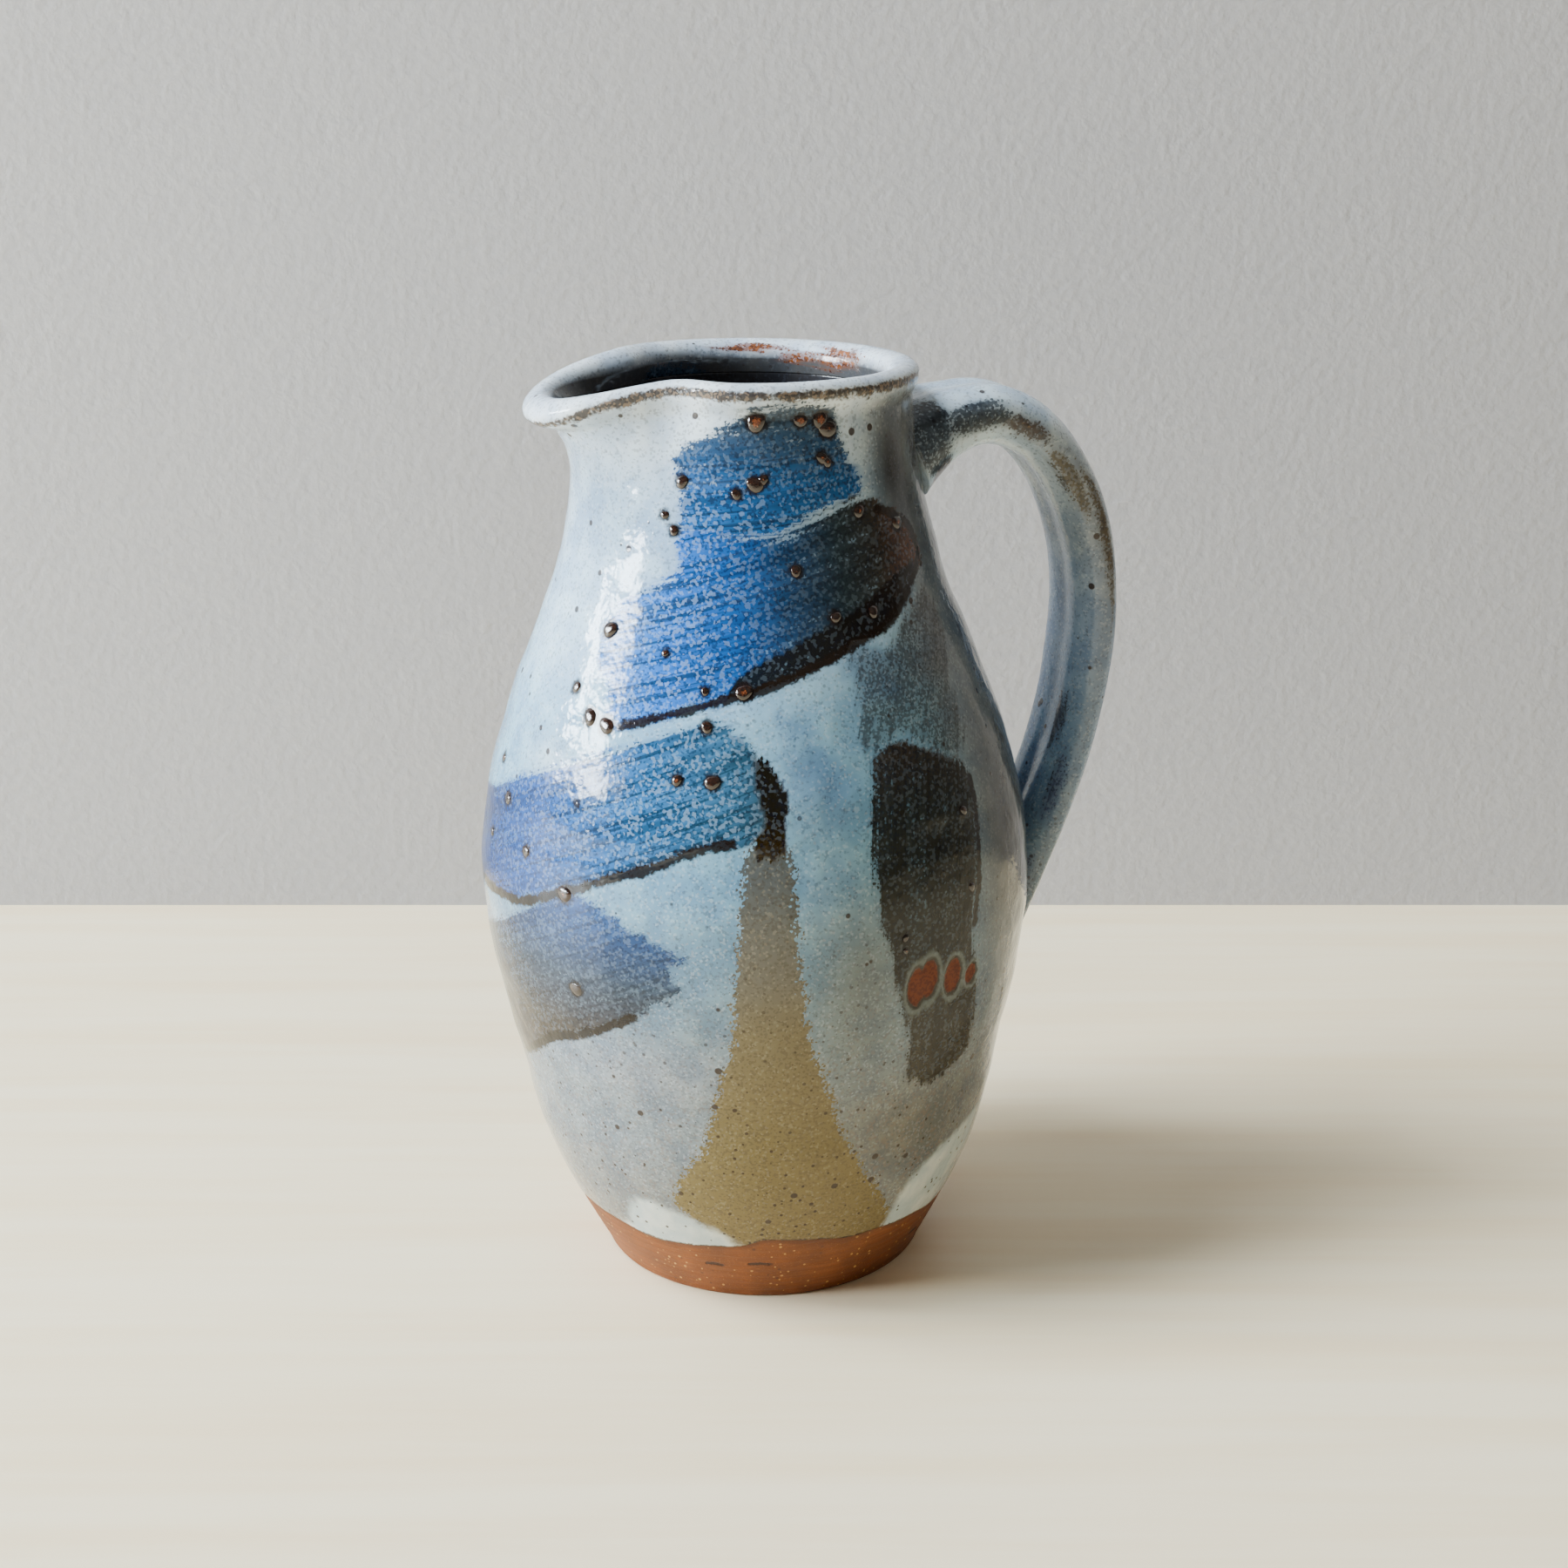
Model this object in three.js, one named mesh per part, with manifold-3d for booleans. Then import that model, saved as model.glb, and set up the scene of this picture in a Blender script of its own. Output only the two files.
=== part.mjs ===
// A hand-thrown stoneware water pitcher: a thrown body with a pulled pouring lip, a pulled strap
// handle, the two coils of soft clay that join it on, and the glaze coats fired over them.
// Millimetres, +Z up. The origin is the centre of the foot's flat underside. The spout points
// along -X and the handle along +X.

import * as THREE from "three";
import { mergeVertices } from "three/addons/utils/BufferGeometryUtils.js";
import Module from "manifold-3d";

const wasm = await Module();
wasm.setup();

// ---- Driving dimensions -------------------------------------------------------------------

const HEIGHT = 215; // foot to the top of the lip, away from the spout
const LIP_HEIGHT = 7; // rolled lip, above the plain neck
const FOOT_RADIUS = 38.7;
const BELLY_RADIUS = 64.6;
const NECK_RADIUS = 37.3;
const GLAZE_LINE = 17.5; // the bare clay band under it is the foot
const FOOT_BEVEL = 1.2;
const FLOOR = 9; // thickness of the bottom, glaze included
const WALL = 5.7; // thickness of the wall, glaze included
const LEAN = 0.0172; // the thrown body leans this share of its height towards the spout

const GLAZE = 0.5; // thickness of a glaze coat
const GAP = 0.35; // clearance between one piece and the next
const CLAY = GLAZE + GAP; // depth of the clay under the glazed skin

// The pouring lip: the rim is pulled out and down over the spout, and pinched on both sides of it.
const THROAT_HEIGHT = 180; // where the spout starts to leave the round neck
const SPOUT_REACH = 12;
const SPOUT_DROP = 11.5;
const SPOUT_HALF_ANGLE = 32;
const PINCH_DEPTHS = { near: 4.3, far: 3 }; // on the -Y side and on the +Y side
const PINCH_RISE = 1;
const PINCH_ANGLE = 47;
const PINCH_HALF_ANGLE = 15;

// The strap handle, by the share of its length from the neck to the belly.
const HANDLE_WIDTHS = [[0, 27], [0.2, 25.5], [0.5, 25], [0.8, 24], [1, 25]];
const HANDLE_THICKNESSES = [[0, 15], [0.16, 13], [0.24, 11.3], [0.4, 10], [0.7, 9], [1, 8]];
const GROOVE_DEPTH = 0.14; // of the strap's half thickness, along both faces
const GROOVE_WIDTH = 0.28; // of its half width

// Each luting coil fades out over a share of the handle's length. It spreads from there into the
// body, and swells the strap's outer face by less than its inner face and edges.
const UPPER_COIL = { share: 0.15, spread: 11 };
const LOWER_COIL = { share: 0.34, spread: 8 };
const COIL_EDGE = 1; // thickness of a coil where it stops
const OUTER_FACE_SWELL = 0.35;

const SEGMENTS = 46; // round the body
const CROWDING = 0.45; // how much closer together the segments lie at the spout
const WALL_STEPS = 14;
const HANDLE_STEPS = 26;
const COIL_STEPS = 6;
const SECTION_POINTS = 16; // round the strap

// ---- The glazed skin ----------------------------------------------------------------------

// The wall of the round body above the foot, before the spout is pulled, as [height, radius].
const wall = new THREE.SplineCurve(
  [
    [GLAZE_LINE, 47.4],
    [31, 53],
    [47, 56.9],
    [66, 60.6],
    [86, BELLY_RADIUS],
    [107, 64],
    [128, 59.6],
    [150, 51.4],
    [170, 44],
    [189, 39.4],
    [HEIGHT - LIP_HEIGHT, NECK_RADIUS],
  ].map(([height, radius]) => new THREE.Vector2(radius, height)),
);

// Stations along the round wall, closer together towards the spout's end of it.
const roundWall = [new THREE.Vector2(FOOT_RADIUS, 0)];
for (let i = 0; i <= WALL_STEPS; i++) {
  roundWall.push(wall.getPoint(1 - (1 - i / WALL_STEPS) ** 1.8));
}

// The lip's section past the top of the wall: out from the wall, and on along it.
const LIP_SECTION = [
  [1.5, 2.6],
  [2.1, 5],
  [0.8, 6.7],
  [-1.6, LIP_HEIGHT],
  [-4.1, 6.1],
  [-5.4, 3.8],
  [-WALL, 0.5],
];

const bump = (distance, halfWidth, power) => Math.exp(-(Math.abs(distance / halfWidth) ** power));

// The outside of the wall at an angle from +X, with the rim pulled into the spout there.
function wallAt(angle) {
  const fromSpout = 180 - Math.abs(THREE.MathUtils.radToDeg(angle));
  const spout = bump(fromSpout, SPOUT_HALF_ANGLE, 2.6);
  const pinch = bump(fromSpout - PINCH_ANGLE, PINCH_HALF_ANGLE, 2);
  const pinchDepth = angle < 0 ? PINCH_DEPTHS.near : PINCH_DEPTHS.far;
  return roundWall.map(({ x: radius, y: height }) => {
    const rise = Math.max(0, (height - THROAT_HEIGHT) / (HEIGHT - THROAT_HEIGHT));
    return new THREE.Vector2(
      radius + SPOUT_REACH * spout * rise ** 2.2 - pinchDepth * pinch * rise ** 1.5,
      height + (PINCH_RISE * pinch - SPOUT_DROP * spout) * rise ** 3,
    );
  });
}

// The lip, turned to follow the top of the wall that it stands on.
function lipOn(outside) {
  const [below, top] = outside.slice(-2);
  const up = top.clone().sub(below).normalize();
  const out = new THREE.Vector2(up.y, -up.x);
  return LIP_SECTION.map(([across, along]) =>
    top.clone().addScaledVector(out, across).addScaledVector(up, along),
  );
}

// The inside, from the lip down the wall and round on to the floor.
function liningOf(outside) {
  const inside = outside.map((point, i) => {
    const before = outside[Math.max(i - 1, 0)];
    const after = outside[Math.min(i + 1, outside.length - 1)];
    const way = after.clone().sub(before).normalize();
    return new THREE.Vector2(point.x - way.y * WALL, point.y + way.x * WALL);
  });
  const down = inside.slice(3).reverse();
  const foot = down.at(-1);
  const corner = new THREE.Vector2(foot.x - 7, FLOOR);
  const bowl = new THREE.QuadraticBezierCurve(foot, corner, new THREE.Vector2(22, FLOOR));
  return [...down, ...bowl.getPoints(4).slice(1)];
}

const LIP_END = roundWall.length + LIP_SECTION.length; // where the lining starts along a section

// The skin at every angle round the body: from the foot up, over the lip, and down to the floor.
const skin = [];
for (let i = 0; i < SEGMENTS; i++) {
  const turn = Math.PI * ((2 * i) / SEGMENTS - 1);
  const angle = turn + CROWDING * Math.sin(turn);
  const outside = wallAt(angle);
  const section = [...outside, ...lipOn(outside), ...liningOf(outside)];
  skin.push(
    section.map(({ x, y }) => {
      return new THREE.Vector3(x * Math.cos(angle) - LEAN * y, x * Math.sin(angle), y);
    }),
  );
}

// The skin's outward direction at a point of it.
function outwardAt(i, j) {
  const last = skin[i].length - 1;
  const round = skin[(i + 1) % SEGMENTS][j].clone().sub(skin[(i + SEGMENTS - 1) % SEGMENTS][j]);
  const along = skin[i][Math.min(j + 1, last)].clone().sub(skin[i][Math.max(j - 1, 0)]);
  return round.cross(along).normalize();
}

const outward = skin.map((section, i) => section.map((_, j) => outwardAt(i, j)));

// The section at the i-th angle of a surface that lies at a depth under the skin.
const under = (i, depth) => skin[i].map((p, j) => p.clone().addScaledVector(outward[i][j], -depth));

const onAxis = (height) => new THREE.Vector3(-LEAN * height, 0, height);

// ---- From sections to a solid -------------------------------------------------------------

function moveVertices(geometry, move) {
  const position = geometry.getAttribute("position");
  const vertex = new THREE.Vector3();
  for (let i = 0; i < position.count; i++) {
    const moved = move(vertex.fromBufferAttribute(position, i), i);
    position.setXYZ(i, moved.x, moved.y, moved.z);
  }
  return geometry;
}

// A turned body whose section changes with the angle: a lathe lays out its vertices one section
// after another, and each is then moved to its own point.
function turned(sectionAt) {
  const sections = skin.map((_, i) => sectionAt(i));
  const count = sections[0].length;
  const profile = sections[0].map(({ x, y, z }) => new THREE.Vector2(Math.hypot(x, y), z));
  const lathe = new THREE.LatheGeometry(profile, SEGMENTS);
  return moveVertices(lathe, (_, i) => sections[Math.floor(i / count) % SEGMENTS][i % count]);
}

function toSolid(geometry) {
  const bare = geometry.clone();
  bare.deleteAttribute("normal");
  bare.deleteAttribute("uv");
  const merged = mergeVertices(bare, 1e-4);
  return new wasm.Manifold(
    new wasm.Mesh({
      numProp: 3,
      vertProperties: merged.getAttribute("position").array,
      triVerts: new Uint32Array(merged.index.array),
    }),
  );
}

function toGeometry(solid) {
  const { vertProperties, triVerts } = solid.getMesh();
  const geometry = new THREE.BufferGeometry();
  geometry.setAttribute("position", new THREE.BufferAttribute(vertProperties, 3));
  geometry.setIndex(new THREE.BufferAttribute(triVerts, 1));
  geometry.computeVertexNormals();
  return geometry;
}

// ---- The thrown body and its two glaze coats ----------------------------------------------

const thrownBody = turned((i) => {
  const clay = under(i, CLAY);
  const base = clay[0].clone().setZ(0);
  const edge = base.clone().lerp(onAxis(0), FOOT_BEVEL / FOOT_RADIUS);
  return [onAxis(0), edge, base.setZ(FOOT_BEVEL), ...clay.slice(1), onAxis(FLOOR - CLAY)];
});

const outerGlaze = turned((i) => {
  const front = skin[i].slice(1, LIP_END);
  const back = under(i, GLAZE).slice(1, LIP_END);
  return [...front, ...back.reverse(), front[0]];
});

const linerGlaze = turned((i) => {
  const front = skin[i].slice(LIP_END);
  const back = under(i, GLAZE).slice(LIP_END);
  return [onAxis(FLOOR - GLAZE), ...back.reverse(), ...front, onAxis(FLOOR)];
});

// Everything within the outside of the clay, grown by a clearance.
const bodyEnvelope = (clearance) =>
  toSolid(turned((i) => {
    const outside = under(i, CLAY - clearance).slice(0, LIP_END - 3);
    return [onAxis(0), outside[0].setZ(0), ...outside.slice(1), onAxis(HEIGHT)];
  }));

// ---- The pulled handle, its luting coils and its glaze ------------------------------------

// Centre line from inside the neck to inside the belly, as [distance from the axis, height].
const handleLine = new THREE.CatmullRomCurve3(
  [
    [24, 190.5],
    [38, 196.8],
    [47, 199.6],
    [58, 200.6],
    [68, 196],
    [76.5, 185.5],
    [82, 171.5],
    [84, 155],
    [82.5, 137],
    [78.5, 119],
    [72, 101.5],
    [64, 86],
    [54, 69],
    [43, 52],
  ].map(([distance, height]) => new THREE.Vector3(distance - LEAN * height, 0, height)),
);

// The value at a share of the way along a list of [share, value].
function valueAt(list, share) {
  const next = list.findIndex(([at]) => at >= share);
  if (next < 1) return list.at(next < 0 ? -1 : 0)[1];
  const [from, low] = list[next - 1];
  const [to, high] = list[next];
  return THREE.MathUtils.lerp(low, high, (share - from) / (to - from));
}

// The strap's section, one unit to each side: a flattened oval, grooved along both faces.
function strapSection() {
  const points = [];
  for (let i = 0; i < SECTION_POINTS; i++) {
    const angle = (i / SECTION_POINTS) * 2 * Math.PI;
    const x = Math.sign(Math.cos(angle)) * Math.abs(Math.cos(angle)) ** 0.8;
    const y = Math.sign(Math.sin(angle)) * Math.abs(Math.sin(angle)) ** 0.85;
    points.push(new THREE.Vector2(x, y * (1 - GROOVE_DEPTH * bump(x, GROOVE_WIDTH, 2))));
  }
  return new THREE.Shape(points);
}

const fade = (share, { share: reach, spread }) => spread * Math.max(0, 1 - share / reach) ** 1.5;

// How much the two coils swell the strap at a share of its length.
const coilSwell = (share) => fade(share, UPPER_COIL) + fade(1 - share, LOWER_COIL);
const noSwell = () => 0;

// The strap between two shares of its length, grown all round and swollen by swellAt(share).
function strap(from, to, steps, growth, swellAt) {
  const straight = new THREE.ExtrudeGeometry(strapSection(), { depth: 1, steps, bevelEnabled: false });
  return toSolid(
    moveVertices(straight, ({ x, y, z }) => {
      const share = THREE.MathUtils.lerp(from, to, z);
      const tangent = handleLine.getTangentAt(share);
      const out = new THREE.Vector3(-tangent.z, 0, tangent.x);
      const swell = swellAt(share);
      const liftSwell = y > 0 ? swell * OUTER_FACE_SWELL : swell;
      const sideways = x * (valueAt(HANDLE_WIDTHS, share) / 2 + growth + swell);
      const lift = y * (valueAt(HANDLE_THICKNESSES, share) / 2 + growth + liftSwell);
      return handleLine.getPointAt(share).addScaledVector(out, lift).setY(sideways);
    }),
  );
}

// The share of the handle's length at which a coil has thinned to its edge.
const coilEnd = ({ share, spread }) => share * (1 - (COIL_EDGE / spread) ** (2 / 3));

const clayStrap = (growth) => strap(0, 1, HANDLE_STEPS, growth, noSwell);
const coatedStrap = (growth) => strap(0, 1, HANDLE_STEPS, growth, coilSwell);
const upperCoil = strap(0, coilEnd(UPPER_COIL), COIL_STEPS, 0, coilSwell);
const lowerCoil = strap(1 - coilEnd(LOWER_COIL), 1, COIL_STEPS, 0, coilSwell);

const handleRoom = clayStrap(GAP);
const coilRoom = coatedStrap(GAP);
const clayRoom = bodyEnvelope(GAP);
const glazeRoom = bodyEnvelope(CLAY + GAP);

// ---- Materials and assembly ---------------------------------------------------------------

const bareClay = new THREE.MeshStandardMaterial({ color: "#a05a30", roughness: 0.85, metalness: 0 });
const paleGlaze = new THREE.MeshStandardMaterial({ color: "#b9cbd6", roughness: 0.15, metalness: 0 });
const greyGlaze = new THREE.MeshStandardMaterial({ color: "#8d8f98", roughness: 0.2, metalness: 0 });

const pitcher = new THREE.Group();

function addPiece(name, geometry, material) {
  const mesh = new THREE.Mesh(geometry, material);
  mesh.name = name;
  pitcher.add(mesh);
}

function addSolid(name, solid, material) {
  addPiece(name, toGeometry(solid), material);
}

addPiece("thrown_body", thrownBody, bareClay);
addSolid("pulled_handle", clayStrap(0).subtract(clayRoom), bareClay);
addSolid("upper_luting_coil", upperCoil.subtract(handleRoom).subtract(clayRoom), bareClay);
addSolid("lower_luting_coil", lowerCoil.subtract(handleRoom).subtract(clayRoom), bareClay);
addSolid("outer_glaze", toSolid(outerGlaze).subtract(coilRoom), paleGlaze);
addPiece("liner_glaze", linerGlaze, greyGlaze);
addSolid("handle_glaze", coatedStrap(CLAY).subtract(coilRoom).subtract(glazeRoom), paleGlaze);

export default pitcher;
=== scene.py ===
"""The looks of a hand-thrown stoneware pitcher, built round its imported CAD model.

The shapes repeat the CAD model's own measures, in millimetres, and become metres in make_piece.
The decoration is laid out on the outside of the pot in (turn, height): the turn is in degrees
round the axis, to the right as seen from the camera, and the height is in millimetres.
"""

import math
from collections import namedtuple

import bpy
import numpy as np
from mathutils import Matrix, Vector


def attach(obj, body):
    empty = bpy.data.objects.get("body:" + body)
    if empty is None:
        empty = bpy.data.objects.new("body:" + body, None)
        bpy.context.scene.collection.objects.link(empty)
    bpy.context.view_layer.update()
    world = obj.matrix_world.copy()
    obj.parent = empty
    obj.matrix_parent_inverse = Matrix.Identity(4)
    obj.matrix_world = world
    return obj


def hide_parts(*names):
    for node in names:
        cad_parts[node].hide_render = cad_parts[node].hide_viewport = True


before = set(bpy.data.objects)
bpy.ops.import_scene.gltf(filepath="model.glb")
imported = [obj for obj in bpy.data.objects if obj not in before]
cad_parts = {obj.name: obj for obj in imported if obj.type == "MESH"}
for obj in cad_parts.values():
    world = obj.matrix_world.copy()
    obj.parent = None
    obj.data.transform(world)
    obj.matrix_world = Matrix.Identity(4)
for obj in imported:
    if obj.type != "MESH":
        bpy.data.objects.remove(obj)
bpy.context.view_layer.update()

MM = 0.001

# ---- The thrown shape, as in the CAD model ---------------------------

HEIGHT = 215.0
FOOT_RADIUS = 38.7
GLAZE_LINE = 17.5  # height of the glaze's lower edge, without its waves
FLOOR = 9.0  # height of the floor inside
FLOOR_RADIUS = 22.0  # of its flat middle
WALL = 5.7
LEAN = 0.0172  # away from the handle, as a slope
GLAZE = 0.5  # thickness of the glaze coats
CLAY = 0.85  # how deep under the glaze's skin the clay lies
THROAT_HEIGHT = 180.0
SPOUT_REACH = 12.0
SPOUT_DROP = 11.5
SPOUT_HALF_ANGLE = 32.0
PINCH_NEAR = 4.3
PINCH_FAR = 3.0
PINCH_RISE = 1.0
PINCH_ANGLE = 47.0
PINCH_HALF_ANGLE = 15.0
WALL_STEPS = 14

WALL_POINTS = [  # (height, radius) up the outside
    (17.5, 47.4), (31, 53), (47, 56.9), (66, 60.6), (86, 64.6), (107, 64), (128, 59.6), (150, 51.4),
    (170, 44), (189, 39.4), (208, 37.3),
]
LIP_SECTION = [(1.5, 2.6), (2.1, 5), (0.8, 6.7), (-1.6, 7), (-4.1, 6.1), (-5.4, 3.8), (-5.7, 0.5)]

FRONT = -107.4  # the direction from the axis that turn 0 faces, in degrees from +X
COLUMNS = 420  # vertices round the outside
LIP_START = 15.0  # station where the lip starts, along a section
LIP_CREST = 16.7  # station of the lip's outermost line
LIP_END = 22.6  # station where the outer coat gives way to the liner


def catmull_rom(points, t):
    """A curve through points, at stations t. points is (n, columns, k) and t is (rows, columns)."""
    last = len(points) - 1
    at = np.clip(np.floor(t).astype(int), 0, last - 1)
    f = (t - at)[..., None]
    column = np.arange(points.shape[1])[None, :]
    p0, p1 = points[np.maximum(at - 1, 0), column], points[at, column]
    p2, p3 = points[at + 1, column], points[np.minimum(at + 2, last), column]
    v0, v1 = (p2 - p0) / 2, (p3 - p1) / 2
    cubic = (2 * p1 - 2 * p2 + v0 + v1) * f**3
    return cubic + (3 * p2 - 3 * p1 - 2 * v0 - v1) * f**2 + v0 * f + p1


def unit(v):
    return v / np.maximum(np.linalg.norm(v, axis=-1, keepdims=True), 1e-9)


def hump(distance, half_width, power=2.0):
    return np.exp(-(np.abs(distance / half_width) ** power))


def smooth(x, low, high):
    s = np.clip((x - low) / (high - low), 0, 1)
    return s * s * (3 - 2 * s)


def round_wall():
    """Stations up the plain round wall, as (radius, height)."""
    wall = np.array([(r, h) for h, r in WALL_POINTS], float)[:, None]
    share = 1 - (1 - np.arange(WALL_STEPS + 1) / WALL_STEPS) ** 1.8
    points = catmull_rom(wall, (share * (len(wall) - 1))[:, None])[:, 0]
    return np.vstack([[(FOOT_RADIUS, 0)], points])


def sections(angles):
    """The pot's section at each angle, foot to lip to floor: (stations, angles, [radius, height])."""
    off = 180 - np.abs(np.degrees(angles))[None]
    spout = hump(off, SPOUT_HALF_ANGLE, 2.6)
    pinch = hump(off - PINCH_ANGLE, PINCH_HALF_ANGLE)
    depth = np.where(angles < 0, PINCH_NEAR, PINCH_FAR)[None]
    radius, height = round_wall().T[:, :, None]
    rise = np.clip((height - THROAT_HEIGHT) / (HEIGHT - THROAT_HEIGHT), 0, None)
    r = radius + SPOUT_REACH * spout * rise**2.2 - depth * pinch * rise**1.5
    z = height + (PINCH_RISE * pinch - SPOUT_DROP * spout) * rise**3
    outside = np.stack([r, z], -1)

    up = unit(outside[-1] - outside[-2])
    out = np.stack([up[:, 1], -up[:, 0]], -1)
    lip = [outside[-1] + across * out + along * up for across, along in LIP_SECTION]

    after = np.concatenate([outside[1:], outside[-1:]])
    before = np.concatenate([outside[:1], outside[:-1]])
    way = unit(after - before)
    inside = outside + WALL * np.stack([-way[..., 1], way[..., 0]], -1)
    down = inside[3:][::-1]
    bowl_reach = 7
    corner = np.stack([down[-1][:, 0] - bowl_reach, np.full(len(angles), FLOOR)], -1)
    flat = np.broadcast_to([FLOOR_RADIUS, FLOOR], corner.shape)
    bowl = [
        (1 - s) ** 2 * down[-1] + 2 * s * (1 - s) * corner + s**2 * flat
        for s in (0.25, 0.5, 0.75, 1.0)
    ]
    return np.concatenate([outside, np.array(lip), down, np.array(bowl)])


def column_angles(count):
    return np.radians(np.arange(count) * 360 / count - 180)


def skin(stations, angles):
    """Points of the pot's glazed skin, in millimetres: (rows, columns, 3)."""
    r, z = np.moveaxis(catmull_rom(sections(angles), stations), -1, 0)
    return np.stack([r * np.cos(angles) - LEAN * z, r * np.sin(angles), z], -1)


def outward(points):
    """The outward direction at each point of a skin whose rows go up the outside."""
    round_way = np.roll(points, -1, 1) - np.roll(points, 1, 1)
    along = np.gradient(points, axis=0)
    return unit(np.cross(round_way, along))


def station_at(height):
    """The station up the plain wall at a height."""
    dense = np.linspace(0, LIP_START, 600)
    heights = catmull_rom(round_wall()[:, None], dense[:, None])[:, 0, 1]
    return np.interp(height, heights, dense)


# ---- Meshes ----------------------------------------------------------


def ring_faces(rows, columns, loop=False):
    """Quads between the rows of a grid whose columns close on themselves, facing outwards."""
    j, i = np.meshgrid(np.arange(rows if loop else rows - 1), np.arange(columns), indexing="ij")
    k, after = (j + 1) % rows, (i + 1) % columns
    quads = [j * columns + i, j * columns + after, k * columns + after, k * columns + i]
    return np.stack(quads, -1).reshape(-1, 4).tolist()


def fan(centre, start, columns, facing_down):
    """Triangles from a centre vertex to the row of vertices that begins at start."""
    pairs = [(start + i, start + (i + 1) % columns) for i in range(columns)]
    return [(centre, b, a) if facing_down else (centre, a, b) for a, b in pairs]


def capped(grid, ends, turned=False):
    """A grid's points and faces, its first and last rows closed to the points in ends."""
    rows, columns = grid.shape[:2]
    count = rows * columns
    faces = ring_faces(rows, columns)
    if turned:
        faces = [face[::-1] for face in faces]
    faces += fan(count, 0, columns, not turned)
    faces += fan(count + 1, count - columns, columns, turned)
    return np.vstack([grid.reshape(-1, 3), *ends]), faces


def make_piece(name, points, faces, material, replaced):
    mesh = bpy.data.meshes.new(name)
    mesh.from_pydata((np.asarray(points).reshape(-1, 3) * MM).tolist(), [], faces)
    mesh.polygons.foreach_set("use_smooth", np.ones(len(mesh.polygons), bool))
    mesh.materials.append(material)
    mesh.update()
    piece = bpy.data.objects.new(name, mesh)
    bpy.context.scene.collection.objects.link(piece)
    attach(piece, "root")
    if replaced:
        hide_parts(*replaced)
    return piece


def put_attribute(piece, name, values):
    """Stores a vector (3 numbers) or a colour (4 numbers) for each vertex of a piece."""
    values = np.asarray(values, float).reshape(len(piece.data.vertices), -1)
    kind, field = {3: ("FLOAT_VECTOR", "vector"), 4: ("FLOAT_COLOR", "color")}[values.shape[1]]
    layer = piece.data.attributes.new(name, kind, "POINT")
    layer.data.foreach_set(field, values.astype(np.float32).ravel())


def linear(colour):
    """A colour seen on a screen, 0 to 255, as linear light with a fourth number of 1."""
    c = np.asarray(colour, float) / 255
    light = np.where(c <= 0.04045, c / 12.92, ((c + 0.055) / 1.055) ** 2.4)
    return np.concatenate([light, np.ones(light.shape[:-1] + (1,))], -1)


def colour_along(stops, x):
    """The colour at x along a list of (place, colour), places rising."""
    places, colours = zip(*stops)
    return np.stack([np.interp(x, places, channel) for channel in linear(colours).T], -1)


def wash(colour, tint, share):
    """Colours moved towards a tint by a share at each place."""
    return colour + (linear(tint) - colour) * share[..., None]


# ---- The decoration --------------------------------------------------


def turned_near(turn, middle):
    """The same turns, counted to be within half a turn of middle."""
    return (turn - middle + 180) % 360 - 180 + middle


def rounded(outline, closed=True, steps=4):
    """A smooth curve through an outline's points."""
    points = np.array(outline, float)
    if not closed:
        t = np.linspace(0, len(points) - 1, (len(points) - 1) * steps + 1)
        return catmull_rom(points[:, None], t[:, None])[:, 0]
    ring = np.vstack([points[-1:], points, points[:2]])
    t = 1 + np.arange(len(points) * steps) / steps
    return catmull_rom(ring[:, None], t[:, None])[:, 0]


def distance_to(line, turn, height, degree, closed):
    """Distance in mm from each place to a line, and whether the place is inside it."""
    nearest = np.full(turn.shape, 1e9)
    inside = np.zeros(turn.shape, bool)
    ends = np.roll(line, -1, 0) if closed else line[1:]
    for (a0, z0), (a1, z1) in zip(line, ends):
        x, y = (turn - a0) * degree, height - z0
        dx, dy = (a1 - a0) * degree, z1 - z0
        share = np.clip((x * dx + y * dy) / np.maximum(dx * dx + dy * dy, 1e-9), 0, 1)
        nearest = np.minimum(nearest, np.hypot(x - share * dx, y - share * dy))
        if closed and z0 != z1:
            crosses = (z0 > height) != (z1 > height)
            inside ^= crosses & (turn < a0 + (a1 - a0) * (height - z0) / (z1 - z0))
    return nearest, inside


# One pass of a loaded brush: its outline, the slope of the pull in degrees, what its colours
# change by ("turn" or "height"), the colours, and how thickly the pigment lies.
Stroke = namedtuple("Stroke", "outline slope by stops weight", defaults=[1.0])

COBALT = (38, 98, 162)
OLIVE_BLACK = (24, 20, 8)

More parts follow.
